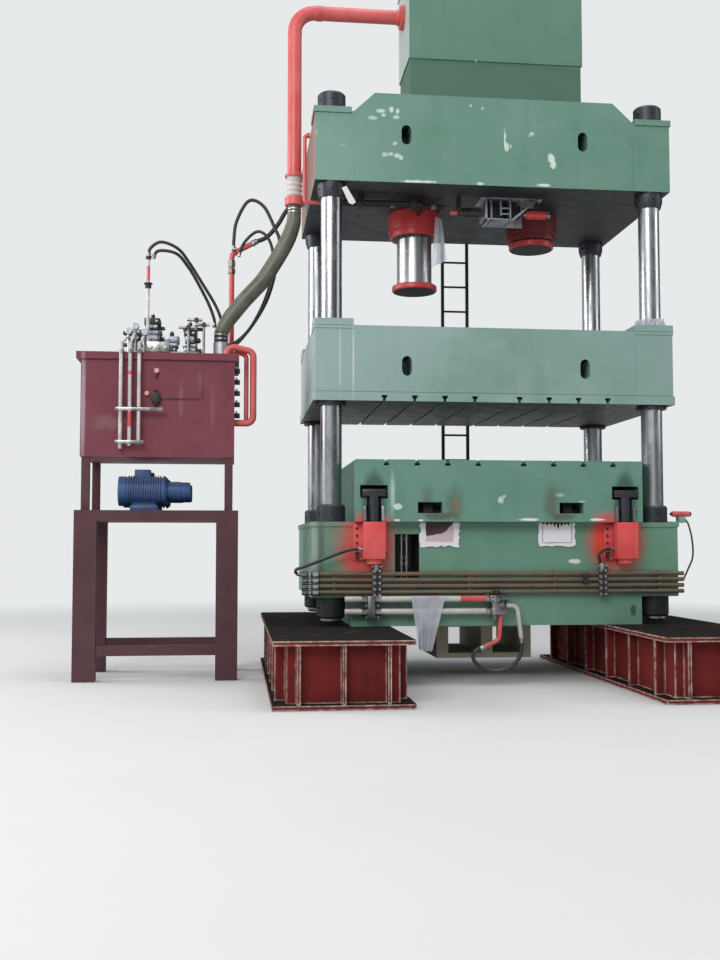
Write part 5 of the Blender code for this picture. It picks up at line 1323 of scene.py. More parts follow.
gaps = [
    bar((line_left + start, pipe_y, z), "X", 0.012, 0.0285, 16, 0.001)
    for z in levels for start in (0.047, 0.090, 0.158)
]
settle("coupling_gaps", gaps, black_plastic, "dark_steel")
print("stacks and couplings fitted")

# %% Cushion lines, their flange and their valve
low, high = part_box("cushion_lines")
cushion_y, upper = bed_face - 0.085, bed_top - 0.742
lower, middle_z = upper - 0.12, upper - 0.06
pair = [
    pipe([(low.x, cushion_y, z), (high.x, cushion_y, z)], 0.0295, 8) for z in (upper, lower)
]
settle("cushion_lines_pair", pair, cushion_pipe, "pipe_steel", ("cushion_lines",))
bands = [
    bar((x, cushion_y, upper), "X", length, 0.0302, 32)
    for x, length in ((-0.71, 0.11), (-0.40, 0.25))
]
settle("cushion_line_bands", bands, red_enamel, "red_paint")
flange_depth = (cushion_y - 0.058, on_face)
flange = [block((-1.305, -1.235), flange_depth, (lower - 0.068, upper + 0.033), 0.006)]
for z in (upper + 0.022, middle_z, lower - 0.055):
    for x in (-1.325, -1.215):
        flange.append(bar((x, cushion_y - 0.035, z), "X", 0.018, 0.016, 6, 0.003))
for z in (upper, lower):
    flange.append(bar((-1.36, cushion_y, z), "X", 0.05, 0.042, 6, 0.004))
    flange.append(bar((-1.232, cushion_y, z), "X", 0.062, 0.038, 6, 0.004))
settle("cushion_flange_block", flange, plated, "pipe_steel")
vx, case_front = high.x + 0.0003, cushion_y - 0.060
waist_depth, foot_depth = (cushion_y - 0.045, on_face), (cushion_y - 0.050, on_face)
valve = [
    block((vx + 0.01, vx + 0.13), (case_front, on_face), (upper - 0.036, upper + 0.034), 0.008),
    block((vx + 0.03, vx + 0.15), waist_depth, (middle_z - 0.03, upper - 0.03), 0.006),
    block((vx + 0.02, vx + 0.186), foot_depth, (lower - 0.036, lower + 0.035), 0.008),
    bar((vx - 0.03, cushion_y, upper), "X", 0.042, 0.043, 6, 0.004),
    bar((vx - 0.03, cushion_y, lower), "X", 0.052, 0.043, 6, 0.004),
    bar((vx + 0.12, cushion_y, upper), "X", 0.07, 0.030, 6, 0.004),
    bar((vx + 0.07, cushion_y, lower - 0.03), "Z", -0.055, 0.034, 6, 0.004),
    bar((vx + 0.12, cushion_y - 0.04, middle_z), "Y", -0.045, 0.026, 8, 0.004),
]
settle("cushion_valve_case", valve, plated, "pipe_steel", ("cushion_valve",))
darks = [
    bar((vx + across, case_front + 0.004, upper + up), "Y", -0.018, 0.011, 6, 0.002)
    for up in (0.018, -0.02) for across in (0.03, 0.11)
]
darks.append(bar((vx + 0.15, cushion_y - 0.02, lower + 0.05), "Z", 0.06, 0.026, 24, 0.004))
knob_profile = [
    (0.014, upper + 0.030), (0.030, upper + 0.045), (0.032, upper + 0.060), (0.032, upper + 0.080),
    (0.024, upper + 0.089),
]
darks.append(turned(knob_profile, (high.x + 0.073, cushion_y - 0.035, 0), 32))
settle("cushion_valve_darks", darks, black_plastic, "black_rubber")
start = (0, cushion_y, upper)
outlet = steps_from(start, (0.04, 0, -0.07), (0.16, 0, -0.07), (0.20, 0, -0.38))
supply = steps_from(start, (0.0, 0, -0.14), (-0.02, 0, -0.40), (-0.16, 0, -0.46))
settle("cushion_outlet", pipe(bends(outlet, 0.06), 0.0215), cushion_pipe, "pipe_steel")
settle("cushion_supply", pipe(bends(supply, 0.08), 0.0215), red_enamel, "red_paint")
print("cushion valve at x", round(vx, 2))

# %% [markdown]
# The black hoses are fastened at both ends, so their routes come from the solids' own ends: out of
# the fitting, down in a slack curve, and into the next one. Each ends in a plated ferrule.

# %% Hang the black hoses


def black_hose(name, points, radius, node=None):
    """A rubber hose with plated ferrules, in place of its solid where it has one."""
    route = flowing(points, 0.022)
    stands_for = (node,) if node else ()
    settle(name, pipe(route, radius), black_rubber, "black_rubber", stands_for, smooth=60)
    ends = []
    for tip, inward in ((route[0], route[2]), (route[-1], route[-3])):
        way = (inward - tip).normalized()
        ends.append(rod(tip, tip + way * radius * 2.6, radius * 1.28, 20, radius * 0.1))
        ends.append(rod(tip, tip + way * radius * 0.9, radius * 1.55, 6, radius * 0.1))
    settle(f"{name}_ferrules", ends, plated, "pipe_steel")


clamp_y, port = middle_of("clamp_bolt_front_left").y, bolster[0].z - 0.262
between = (clamp_y + pipe_y) / 2
left_side, right_side = (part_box(f"clamp_body_front_{hand}")[0].x for hand in ("left", "right"))
black_hose(
    "clamp_hose_wall_left",
    steps_from(
        (left_side, clamp_y, port), (0, 0, 0), (-0.045, 0, 0), (-0.15, 0, -0.015), (-0.33, 0, -0.08)
    ) + [
        (line_left + 0.07, clamp_y, port - 0.15), (line_left - 0.06, between, port - 0.20),
        (line_left - 0.042, pipe_y, top_line), (line_left, pipe_y, top_line),
    ],
    0.0155, "clamp_hose_left",
)
black_hose(
    "clamp_hose_wall_right",
    [
        (right_side, clamp_y, port), (right_side - 0.03, clamp_y, port),
        (nipple_x + 0.02, clamp_y, port - 0.01), (nipple_x - 0.03, clamp_y, port - 0.06),
        (nipple_x - 0.01, between, port - 0.12), (nipple_x, pipe_y, top_line + 0.09),
        (nipple_x, pipe_y, top_line + 0.06),
    ],
    0.0155, "clamp_hose_right",
)
outlet_way, supply_way = ((run[2] - run[1]).normalized() for run in (outlet, supply))
black_hose(
    "cushion_hose_wall",
    [outlet[2], outlet[2] + outlet_way * 0.042]
    + steps_from(
        start, (0.19, 0, -0.55), (0.10, 0, -0.66), (-0.04, 0, -0.70), (-0.18, 0, -0.67),
        (-0.27, 0, -0.59), (-0.26, 0, -0.51),
    )
    + [supply[2] + supply_way * 0.042, supply[2]],
    0.0195, "cushion_hose",
)
print("black hoses hung")

# %% [markdown]
# ## Valve bracket under the crown
# A bracket of bent plate hangs under the crown, open to the front, and carries the valves for the
# right cylinder. Its bright inner faces and ribs show against the dark underside.

# %% Fold the bracket
PLATE = 0.012
low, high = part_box("valve_bracket")
left, front, foot, top = low.x, low.y, low.z, high.z
depth = (front, high.y)
gusset = block((left + 0.27, left + 0.30), (front, front + 0.10), (foot + 0.03, top - 0.004), 0.003)
for vertex in gusset.data.vertices:
    if vertex.co.z > top - 0.008:
        vertex.co.x += 0.26
bracket = [
    gusset,
    block((left - 0.05, left + 0.60), depth, (top - PLATE, top), 0.003),
    block((left, left + 0.27), depth, (foot + 0.03, foot + 0.03 + PLATE), 0.003),
    block((left, left + 0.46), (high.y - PLATE, high.y), (foot + 0.03, top), 0.003),
]
for across, wide, up in (
    (0.0, 0.020, 0.03), (0.055, 0.016, 0.03), (0.155, 0.014, 0.07), (0.255, 0.014, 0.03)
):
    span = (left + across, left + across + wide)
    bracket.append(block(span, depth, (foot + up, top - 0.002), 0.003))
for z in (foot + 0.085, foot + 0.145):
    span = (left + 0.155, left + 0.255)
    bracket.append(block(span, (front, front + 0.02), (z, z + 0.014), 0.003))
settle("bracket_sheets", bracket, bracket_metal, "pipe_steel", ("valve_bracket",))
first_depth, second_depth = (front + 0.08, front + 0.2), (front + 0.12, front + 0.24)
valves = [
    block((left + 0.08, left + 0.15), first_depth, (foot + 0.05, foot + 0.19), 0.006),
    block((left + 0.28, left + 0.40), second_depth, (foot + 0.10, foot + 0.22), 0.006),
    bar((left + 0.17, front + 0.12, foot + 0.12), "X", 0.08, 0.03, 24, 0.004),
]
settle("bracket_valves", valves, dark_steel, "dark_steel")
valve_y, valve_z = front + 0.10, foot + 0.117
red_valve = [
    bar((0.425, valve_y, valve_z), "X", 0.215, 0.043, 40, 0.006),
    bar((0.470, valve_y, valve_z), "X", 0.022, 0.046, 40, 0.002),
]
settle("red_valve_body", red_valve, gland_enamel, "red_paint")
tips = [
    bar((0.640, valve_y, valve_z), "X", 0.050, 0.026, 8, 0.004),
    bar((0.672, valve_y, valve_z - 0.03), "Z", 0.065, 0.018, 8, 0.003),
    bar((0.405, valve_y, valve_z), "X", 0.023, 0.022, 8, 0.003),
]
settle("red_valve_tips", tips, plated, "pipe_steel")
lug = block((0.52, 0.56), (valve_y - 0.02, valve_y + 0.02), (valve_z + 0.03, crown_low - 0.001))
settle("red_valve_lug", lug, dark_steel, "dark_steel")
print("bracket folded")

# %% [markdown]
# ## Ladder
# The ladder up the back is two square tubes with round rungs, painted black. It shows between the
# rams from the front.

# %% Weld the ladder
RUNG_PITCH = 0.30
low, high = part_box("ladder")
rail_y, rails = high.y - 0.018, (low.x + 0.018, high.x - 0.018)
irons = [
    block((x - 0.018, x + 0.018), (rail_y - 0.018, rail_y + 0.018), (low.z, high.z)) for x in rails
]
count = int((high.z - low.z) / RUNG_PITCH)
for number in range(count):
    z = low.z + 0.15 + number * RUNG_PITCH
    irons.append(bar((rails[0], rail_y, z), "X", rails[1] - rails[0], 0.0125, 16))
for z in (bed[0].z + 0.5, crown_low + 0.2):
    depth = (crown[1].y - 0.0117, rail_y - 0.009)
    irons.append(block((low.x, high.x), depth, (z, z + 0.06)))
settle("ladder_irons", irons, ladder_black, "black_paint", ("ladder",))
print("ladder with", count, "rungs")

# %% [markdown]
# ## Power unit
# Two motors with their pumps stand on the deck. The oil tank is above them on posts, and on its
# lid sit the valve blocks, bright plated steel with black coils. A motor has cooling fins, a fan
# cowl and a terminal box; the fins are drawn out of a ring of faces.

# %% Turn the motors and their pumps
FINS, FIN_PITCH = 14, 0.0245
for where in ("front", "back"):
    node = f"motor_pump_{where}"
    start, deck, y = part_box(node)[0].x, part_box(node)[0].z, middle_of(node).y
    shaft_z = deck + 0.20
    profile = [(0.06, 0.0), (0.145, 0.0), (0.152, 0.006), (0.152, 0.078), (0.142, 0.085)]
    for number in range(FINS):
        at = 0.095 + number * FIN_PITCH
        profile += [(0.142, at), (0.160, at + 0.002), (0.160, at + 0.010), (0.142, at + 0.012)]
    profile += [
        (0.142, 0.446), (0.158, 0.448), (0.158, 0.462), (0.136, 0.49), (0.10, 0.492),
        (0.10, 0.62), (0.094, 0.63), (0.094, 0.70), (0.086, 0.72), (0.05, 0.72),
    ]
    web_depth, box_depth = (y - 0.09, y + 0.09), (y - 0.06, y + 0.06)
    motor = [
        turned(profile, (start, y, shaft_z), 48, "X"),
        block((start + 0.12, start + 0.40), (y - 0.128, y + 0.128), (deck, deck + 0.05), 0.008),
        block((start + 0.14, start + 0.38), web_depth, (deck + 0.03, deck + 0.11), 0.008),
        block((start + 0.16, start + 0.32), box_depth, (shaft_z + 0.125, shaft_z + 0.22), 0.01),
    ] + [
        bar((start + across, y + back, deck + 0.05), "Z", 0.012, 0.014, 6, 0.002)
        for across in (0.15, 0.37) for back in (-0.11, 0.11)
    ]
    settle(f"{where}_motor_body", motor, blue_enamel, "blue_paint", (node,))
print("motors turned")

# %% [markdown]
# The valve blocks stand in stacks on a drilled base. Each stack is a block with a coil on top or
# in front, plugs on its faces and screws in its corners. Small parts like these are what makes a
# unit look real at a distance, so the stacks are built from a short table of sizes.

# %% Stack the valve blocks
unit_x, base_z = middle_of("unit_tank").x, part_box("unit_manifold")[0].z
base_top = base_z + 0.075
steels = [block((unit_x - 0.355, unit_x + 0.395), (-0.16, 0.16), (base_z, base_top), 0.006)]
darks, brights = [], []
stacks = ((-0.275, 0.085, 0.34), (-0.095, 0.105, 0.46), (0.105, 0.085, 0.30), (0.295, 0.080, 0.44))
for number, (along, half, height) in enumerate(stacks):
    x, level, layer = unit_x + along, base_top, 0
    while level < base_z + height - 0.08:
        turn = layer + number
        thick = (0.062, 0.045, 0.075)[layer % 3]
        reach = half * (0.78, 0.92, 0.62)[turn % 3]
        depth = half * (1.0, 0.8, 1.15)[turn % 3]
        middle = level + thick / 2
        bits = darks if turn % 4 == 2 else steels
        span = (x - reach, x + reach)
        bits.append(block(span, (-depth, depth), (level, level + thick - 0.006), 0.005))
        for side in (-1, 1):
            spot = (x + side * reach * 0.55, -depth - 0.012, middle)
            brights.append(bar(spot, "Y", 0.016, 0.014, 6, 0.002))
        if turn % 2:
            way = 1 if number % 2 else -1
            coil, cap = way * (reach + 0.055), 0.016 if way > 0 else -0.008
            coil_r = min(0.028, thick * 0.45)
            darks.append(bar((x, 0, middle), "X", coil, coil_r, 20, 0.003))
            brights.append(bar((x + coil - 0.004, 0, middle), "X", cap, 0.014, 6, 0.002))
        level += thick
        layer += 1
    darks.append(bar((x, 0, level - 0.006), "Z", 0.051, 0.022, 24, 0.003))
    brights.append(bar((x, 0, level + 0.04), "Z", 0.02, 0.010, 12, 0.002))
for number in range(7):
    port_foot = (unit_x - 0.31 + number * 0.11, -0.172, base_z + 0.037)
    brights.append(bar(port_foot, "Y", 0.017, 0.021, 6, 0.003))
for number, (across, up) in enumerate(((0.36, 0.44), (0.44, 0.38), (0.28, 0.34))):
    x, y, z = unit_x + across, -0.05 * number, base_z + up
    brights.append(bar((x - 0.10, y, z), "X", 0.16, 0.016, 12, 0.002))
    brights.append(bar((x, y, base_z + 0.07), "Z", up - 0.04, 0.013, 12, 0.002))
    darks.append(bar((x, y - 0.03, z), "Y", 0.06, 0.026, 8, 0.003))
count = len(steels) + len(darks) + len(brights)
settle("valve_stacks", steels, valve_metal, "pipe_steel", ("unit_manifold",))
settle("valve_coils", darks, black_plastic, "black_rubber")
settle("valve_plugs", brights, plated, "pipe_steel")
print("valve stacks:", count, "pieces")

# %% [markdown]
# Three pressure gauges stand on stems along the lid's front edge, where the delivery pipes turn up
# to them. Behind them a thin pipe rises two heads high; its hoses arch back down to the valves.

# %% Gauges, the thin riser and its hoses
GAUGES = ((unit_x - 0.316, 1.361), (unit_x - 0.244, 1.412), (unit_x - 0.152, 1.351))
rims, faces = [], []
for x, z in GAUGES:
    rims.append(bar((x, -0.30, z), "Y", -0.035, 0.036, 36, 0.004))
    rims.append(bar((x, -0.315, base_z), "Z", z - 0.03 - base_z, 0.010, 12, 0.001))
    rims.append(bar((x, -0.315, z - 0.075), "Z", 0.025, 0.018, 6, 0.002))
    faces.append(bar((x, -0.334, z), "Y", -0.0035, 0.029, 32))
gauge_span = (unit_x - 0.13, unit_x + 0.10)
rims.append(block(gauge_span, (-0.36, -0.27), (base_z + 0.03, base_z + 0.14), 0.006))
for number in range(3):
    port_foot = (unit_x - 0.09 + number * 0.075, -0.375, base_z + 0.085)
    rims.append(bar(port_foot, "Y", 0.020, 0.022, 6, 0.003))
settle("pressure_gauges", rims, plated, "pipe_steel")
settle("gauge_faces", faces, gauge_paper, "pipe_steel")
thin_x, thin_y = unit_x - 0.125, -0.30
thin = pipe([(thin_x, thin_y, base_z), (thin_x, thin_y, base_z + 1.02)], 0.017)
settle("thin_riser", thin, white_pipe, "pipe_steel")
thin_band = bar((thin_x, thin_y, base_z + 0.78), "Z", 0.15, 0.0178, 24)
settle("thin_riser_band", thin_band, red_enamel, "red_paint")
rings = [
    bar((thin_x, thin_y, base_z + up), "Z", tall, wide, 8, 0.003)
    for up, tall, wide in (
        (0.0, 0.04, 0.035), (0.70, 0.05, 0.032), (0.74, 0.015, 0.045), (1.0, 0.035, 0.028)
    )
]
settle("thin_riser_rings", rings, dark_steel, "dark_steel")
thin_foot = (thin_x, 0, base_z)
black_hose(
    "arch_hose",
    steps_from(
        thin_foot, (0, thin_y, 1.03), (0.02, -0.30, 1.12), (0.13, -0.29, 1.19), (0.30, -0.26, 1.13),
        (0.42, -0.20, 0.99), (0.55, -0.12, 0.80), (0.68, -0.04, 0.60), (0.74, 0, 0.46),
        (0.74, 0, 0.40),
    ),
    0.0165,
)
black_hose(
    "arch_hose_second",
    steps_from(
        thin_foot, (0.04, -0.24, 1.03), (0.10, -0.24, 1.11), (0.28, -0.22, 1.09),
        (0.40, -0.14, 0.97), (0.50, -0.06, 0.82), (0.61, 0.02, 0.62), (0.67, 0.06, 0.46),
        (0.67, 0.06, 0.38),
    ),
    0.0165,
)
print("gauges and hoses in place")

# %% Pipes of the power unit
side = unit_x + 0.7653
return_run = bends(
    steps_from(
        (side, -0.36, base_z), (-0.08, 0, 0), (-0.08, 0, 0.11), (0.19, 0, 0.05), (0.19, 0, -0.69),
        (0, 0, -0.69),
    ),
    0.07,
)
return_ring = bar((side - 0.08, -0.36, base_z), "Z", 0.02, 0.05, 32, 0.003)
return_bits = [pipe(return_run, 0.0345, 8), return_ring]
settle("return_run", return_bits, red_enamel, "red_paint", ("unit_return_pipe",))
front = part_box("unit_pipes")[0].y + 0.01
delivery_x = [unit_x - 0.365 + number * 0.09 for number in range(3)]
deliveries, fittings = [], []
for number, x in enumerate(delivery_x):
    run = bends(
        steps_from(
            (x, front, base_z), (0, 0.13, 0), (0, 0.13, 0.09), (0, 0, 0.09),
            (0, 0, -0.98 + 0.03 * number),
        ),
        0.035, 5,
    )
    deliveries.append(pipe(run, 0.0178))
    fittings.append(bar((x, front + 0.13, base_z), "Z", 0.03, 0.027, 6, 0.002))
    fittings.append(bar((x, front, base_z - 0.02), "Z", 0.04, 0.025, 6, 0.002))
settle("delivery_pipes", deliveries, white_pipe, "pipe_steel", ("unit_pipes",))
for z, right_end in ((base_z - 0.60, unit_x + 0.055), (base_z - 0.93, unit_x - 0.135)):
    clamp_depth, stay_depth = (front - 0.022, front - 0.006), (front, oil_tank[0].y + 0.03)
    fittings.append(block((unit_x - 0.415, right_end), clamp_depth, (z, z + 0.034)))
    fittings.append(block((unit_x - 0.30, unit_x - 0.25), stay_depth, (z + 0.005, z + 0.035)))
    for x in (unit_x - 0.41, unit_x - 0.32, unit_x - 0.23, unit_x - 0.14):
        fittings.append(bar((x, front - 0.022, z + 0.02), "Y", -0.008, 0.009, 6, 0.001))
settle("delivery_fittings", fittings, plated, "pipe_steel")
bands = [
    bar((delivery_x[1], front, base_z - down), "Z", length, 0.0186, 24)
    for down, length in ((0.76, 0.15), (0.24, 0.04))
]
settle("delivery_bands", bands, red_enamel, "red_paint")
leaning = [
    rod((x, front + 0.02, base_z + 0.075), (gauge_x - 0.01, -0.30, gauge_z - 0.06), 0.0135, 16)
    for x, (gauge_x, gauge_z) in zip(delivery_x, GAUGES)
]
settle("gauge_risers", leaning, white_pipe, "pipe_steel")
riser_foot = (unit_x + 0.725, 0.30, base_z)
riser_points = steps_from(riser_foot, (0, 0, 0), (0, 0, 1.24), (0.22, 0, 1.36))
riser = [pipe(bends(riser_points, 0.08), 0.0295, 8), bar(riser_foot, "Z", 0.03, 0.06, 40, 0.003)]
settle("riser_run", riser, red_enamel, "red_paint", ("unit_riser",))
nut_foot, union_foot = steps_from(riser_foot, (0, 0, 1.02), (0, 0, 1.09))
riser_fittings = [
    bar(nut_foot, "Z", 0.05, 0.045, 6, 0.004), bar(union_foot, "Z", 0.08, 0.038, 8, 0.004)
]
settle("riser_fittings", riser_fittings, plated, "pipe_steel")
end, way = riser_points[2], Vector((0.22, 0, 0.12)).normalized()
black_hose(
    "unit_hose_wall",
    [end, end + way * 0.054]
    + steps_from(end, (0.16, 0, 0.08), (0.28, 0, 0.22))
    + steps_from(
        (crown[0].x, 0.30, crown_low + 0.185), (-0.21, 0, -0.10), (-0.12, 0, -0.01),
        (-0.054, 0, 0), (0, 0, 0),
    ),
    0.0245, "unit_hose",
)
loop_start, = steps_from(riser_foot, (0.02, -0.05, 1.27))
black_hose(
    "tall_loop_hose",
    steps_from(
        loop_start, (0, 0, 0), (0, 0, 0.10), (0.03, 0, 0.32), (0.16, 0, 0.55), (0.32, 0, 0.50),
        (0.44, 0, 0.27), (0.50, 0, 0.10), (0.46, 0, -0.20), (0.36, 0, -0.55), (0.18, 0, -0.86),
        (0.03, -0.05, -1.02), (-0.10, -0.10, -1.08),
    ),
    0.0185,
)
black_hose(
    "low_loop_hose",
    steps_from(
        loop_start, (0.05, 0.03, -0.06), (0.12, 0.02, 0.10), (0.26, 0.02, 0.22),
        (0.38, 0.02, 0.14), (0.43, 0.02, -0.08), (0.38, 0.02, -0.42), (0.24, 0, -0.76),
        (0.06, -0.06, -1.02), (-0.07, -0.12, -1.10),
    ),
    0.0165,
)
inner_run = bends(
    steps_from(
        (side, -0.30, base_z), (-0.02, 0, 0), (-0.02, 0, 0.07), (0.12, 0, 0.02), (0.12, 0, -0.69),
        (0, 0, -0.69),
    ),
    0.05,
)
settle("return_run_inner", pipe(inner_run, 0.024, 8), red_enamel, "red_paint")
cock_levels = [base_z - 0.16 - number * 0.115 for number in range(5)]
cocks = [bar((side - 0.01, -0.40, z), "X", 0.065, 0.026, 8, 0.004) for z in cock_levels]
caps = [bar((side + 0.02, -0.425, z + 0.03), "Y", -0.02, 0.014, 8, 0.002) for z in cock_levels]
settle("side_cocks", cocks, dark_steel, "dark_steel")
settle("side_caps", caps, plated, "pipe_steel")
print("power unit piped")

# %% [markdown]
# The tank's front carries a level glass with its two cocks, a thermometer and a drain. The collar
# that the suction hose sits on is plated.

# %% Fit the tank's front
face_y = oil_tank[0].y + 0.03
gauges = [
    bar((-3.36, face_y + 0.01, 0.93), "Y", -0.045, 0.026, 32, 0.004),
    bar((-3.455, face_y + 0.01, 0.70), "Y", -0.04, 0.024, 32, 0.004),
]
settle("tank_gauges", gauges, gauge_glass, "pipe_steel")
cocks = [
    block((-3.405, -3.325), (face_y - 0.05, face_y + 0.01), (0.60, 0.70), 0.012),
    bar((-3.365, face_y - 0.03, 0.575), "Z", 0.16, 0.016, 16, 0.003),
    bar((-3.42, face_y - 0.025, 0.655), "X", 0.11, 0.013, 12, 0.002),
    bar((-3.36, face_y - 0.016, 0.905), "Z", -0.045, 0.014, 6, 0.002),
]
settle("tank_cocks", cocks, dark_steel, "dark_steel")
collar = turned(
    [
        (0.04, lid - 0.20), (0.092, lid - 0.20), (0.092, lid - 0.185), (0.081, lid - 0.18),
        (0.081, lid - 0.001), (0.04, lid - 0.001),
    ],
    (suction_x, 0, 0), 48,
)
settle("suction_collar", collar, bracket_metal, "pipe_steel")
print("tank front fitted")

# %% [markdown]
# ## Rail seats on the bed
# The table will roll out on rails that hook onto the bed's front. Their two seats are machined and
# primed, and masked with pale film while the rest is painted. On the left the film has been torn
# down, and the primed plate shows.

# %% Mask the rail seats


def film_patch(points, y, thickness):
    """A flat patch of film with an uneven outline, given as x and z."""
    mesh = bpy.data.meshes.new("film")
    mesh.from_pydata([(x, y, z) for x, z in points], [], [tuple(range(len(points)))])
    piece = bpy.data.objects.new("film", mesh)
    bpy.context.scene.collection.objects.link(piece)
    take(piece)
    shift = {"value": (0, -thickness, 0)}
    out = lambda: bpy.ops.mesh.extrude_region_move(TRANSFORM_OT_translate=shift)
    return edited(turn_out, out, turn_out)


def ragged_ring(x_low, x_high, z_low, z_high, wobble, count):
    """The outline of a taped-off rectangle, a little uneven."""
    points = []
    corners = [(x_low, z_low), (x_high, z_low), (x_high, z_high), (x_low, z_high)]
    for (xa, za), (xb, zb) in zip(corners, corners[1:] + corners[:1]):
        for share in (step / count for step in range(count)):
            x = xa + (xb - xa) * share + random.uniform(-wobble, wobble)
            z = za + (zb - za) * share + random.uniform(-wobble, wobble)
            points.append((x, min(z, z_high)))
    return points


seat_y, seat_low, seat_top = bed[0].y, FLOOR + 1.335, bed_top - 0.002
torn_outline = [
    (x, seat_top - down)
    for x, down in (
        (-0.722, 0.002), (-0.725, 0.07), (-0.715, 0.135), (-0.66, 0.128), (-0.61, 0.115),
        (-0.57, 0.112), (-0.52, 0.085), (-0.49, 0.045), (-0.465, 0.03), (-0.450, 0.002),
    )
]
mask, line, cover = (0.0005, 0.0025), (0.0032, 0.0012), (0.0046, 0.0012)
for name, finish, outline, (gap, thick) in (
    ("rail_mask_left", masking_film, (-0.777, -0.390, 0.0, 0.004, 0.013, 11), mask),
    ("rail_film_left", pink_film, (-0.722, -0.448, 0.045, 0.006, 0.004, 9), line),
    ("rail_primer_left", torn_primer, None, (0.0046, 0.0015)),
    ("rail_mask_right", masking_film, (0.402, 0.769, 0.0, 0.004, 0.008, 11), mask),
    ("rail_line_right", clear_plastic, (0.438, 0.742, 0.030, 0.010, 0.004, 9), line),
    ("rail_cover_right", masking_film, (0.447, 0.733, 0.040, 0.014, 0.004, 9), cover),
):
    points = torn_outline
    if outline:
        x_low, x_high, up, down, wobble, count = outline
        points = ragged_ring(x_low, x_high, seat_low + up, seat_top - down, wobble, count)
    patch = settle(name, film_patch(points, seat_y - gap, thick), finish, "grey_rubber")
    spread = [max(values) - min(values) for values in zip(*points)]
scraps = []
for x, tall in (
    (0.45, 0.022), (0.49, 0.035), (0.53, 0.028), (0.565, 0.050), (0.60, 0.075), (0.635, 0.045),
    (0.67, 0.030), (0.705, 0.034), (-0.70, 0.020), (-0.655, 0.030), (-0.60, 0.024),
    (-0.545, 0.034), (-0.50, 0.026),
):
    scrap = [
        (x - 0.016, seat_top - 0.001), (x - 0.012, seat_top - tall * 0.5),
        (x + 0.002, seat_top - tall), (x + 0.010, seat_top - tall * 0.4),
        (x + 0.018, seat_top - 0.001),
    ]
    scraps.append(film_patch(scrap, seat_y - 0.0062, 0.0008))
settle("torn_scraps", scraps, dark_steel, "dark_steel")
print("rail seats masked")

# %% [markdown]
# ## Small things that the fitters left
# Thin black sheets line the window in the bed, painted shade for its dark inside, and two thin
# pipes with unions run through it. A short red cylinder on a pale bracket stands at the bed's
# right end, with its cable. A paper tag hangs at the crown's front left nut, torn film hangs from
# the left gland, and a sheet of clear plastic that kept paint off the floor still hangs over the
# lower pipes.

# %% Line the window and pipe it
left, right, foot, top = -1.025, -0.785, bed_top - 0.583, bed_top - 0.117
deep = bed_face + 0.45
depth = (bed_face + 0.004, deep)
# Thin black sheets inside the window: painted shade.
shade_lining = [
    block((left, right), (deep - 0.004, deep - 0.0005), (foot, top), 0),
    block((left + 0.0005, left + 0.004), depth, (foot, top), 0),
    block((right - 0.004, right - 0.0005), depth, (foot, top), 0),
    block((left, right), depth, (top - 0.004, top - 0.0005), 0),
    block((left, right), depth, (foot + 0.0005, foot + 0.004), 0),
]
settle("window_shade_lining", shade_lining, black_plastic, "dark_steel")
window_y = bed_face + 0.035
window_pipes = []
for x in (-0.955, -0.905):
    start = (x, window_y, foot + 0.005)
    window_pipes.append(bar(start, "Z", top - foot - 0.01, 0.0105, 12))
    for up in (0.16, 0.22, 0.40):
        window_pipes.append(bar((x, window_y, foot + up), "Z", 0.035, 0.017, 6, 0.002))
settle("window_pipes", window_pipes, plated, "pipe_steel")

# %% The right end of the bed
right_y, tube_z = bed_face + 0.18, bed_top + 0.09
right_tube = [
    bar((1.845, right_y, tube_z), "X", 0.185, 0.028, 32, 0.004),
    bar((1.870, right_y, tube_z), "X", 0.015, 0.031, 32, 0.002),
]
settle("end_cylinder", right_tube, red_enamel, "red_paint")
ends = [
    bar((2.028, right_y, tube_z), "X", 0.018, 0.024, 16, 0.003),
    bar((1.825, right_y, tube_z), "X", 0.023, 0.013, 16, 0.002),
]
settle("end_cylinder_ends", ends, dark_steel, "dark_steel")
plate_depth, box_depth = (right_y - 0.05, right_y + 0.05), (right_y - 0.045, right_y + 0.045)
bracket = [
    block((1.75, 1.975), plate_depth, (bed_top + 0.001, bed_top + 0.013), 0.003),
    block((1.905, 1.975), box_depth, (bed_top + 0.010, tube_z - 0.026), 0.006),
]
settle("end_box", bracket, slide_paint, "pale_green_paint")
black_hose(
    "end_cable",
    steps_from(
        (0, right_y, tube_z), (1.978, 0, -0.05), (2.005, -0.03, -0.10), (2.005, -0.12, -0.26),
        (1.975, -0.20, -0.43),
    ) + [(1.920, pipe_y + 0.02, tube_z - 0.55), (1.862, pipe_y, levels[1])],
    0.009,
)

# %% Tag and films
tag_outline = [
    (-1.545, 2.685), (-1.500, 2.705), (-1.405, 2.545), (-1.440, 2.520), (-1.475, 2.535)
]
tag = film_patch(tag_outline, axis_y - NUT_R - 0.006, 0.0015)
settle("paper_tag", tag, paper, "grey_rubber")


def shaped_grid(across, up, place_of):
    """A grid of points, each put where a function of its two shares says."""
    clear_selection()
    bpy.ops.mesh.primitive_grid_add(x_subdivisions=across, y_subdivisions=up, size=1)
    piece = bpy.context.object
    for vertex in piece.data.vertices:
        vertex.co = place_of(vertex.co.x + 0.5, vertex.co.y + 0.5)
    return piece


def hanging_film(top, bottom, depth, folds, waves):
    """A thin sheet between two edges given as x and z ends, with folds along it."""
    top_ends, bottom_ends = ([Vector(end) for end in edge] for edge in (top, bottom))

    def place_of(across, up):
        down = 1.0 - up
        x, z = top_ends[0].lerp(top_ends[1], across).lerp(
            bottom_ends[0].lerp(bottom_ends[1], across), down
        )
        sway = folds * math.sin(waves * across * math.pi + 1.7 * down) * (0.3 + 0.7 * down)
        return (x + 0.3 * sway, depth + sway, z)

    return shaped_grid(36, 48, place_of)


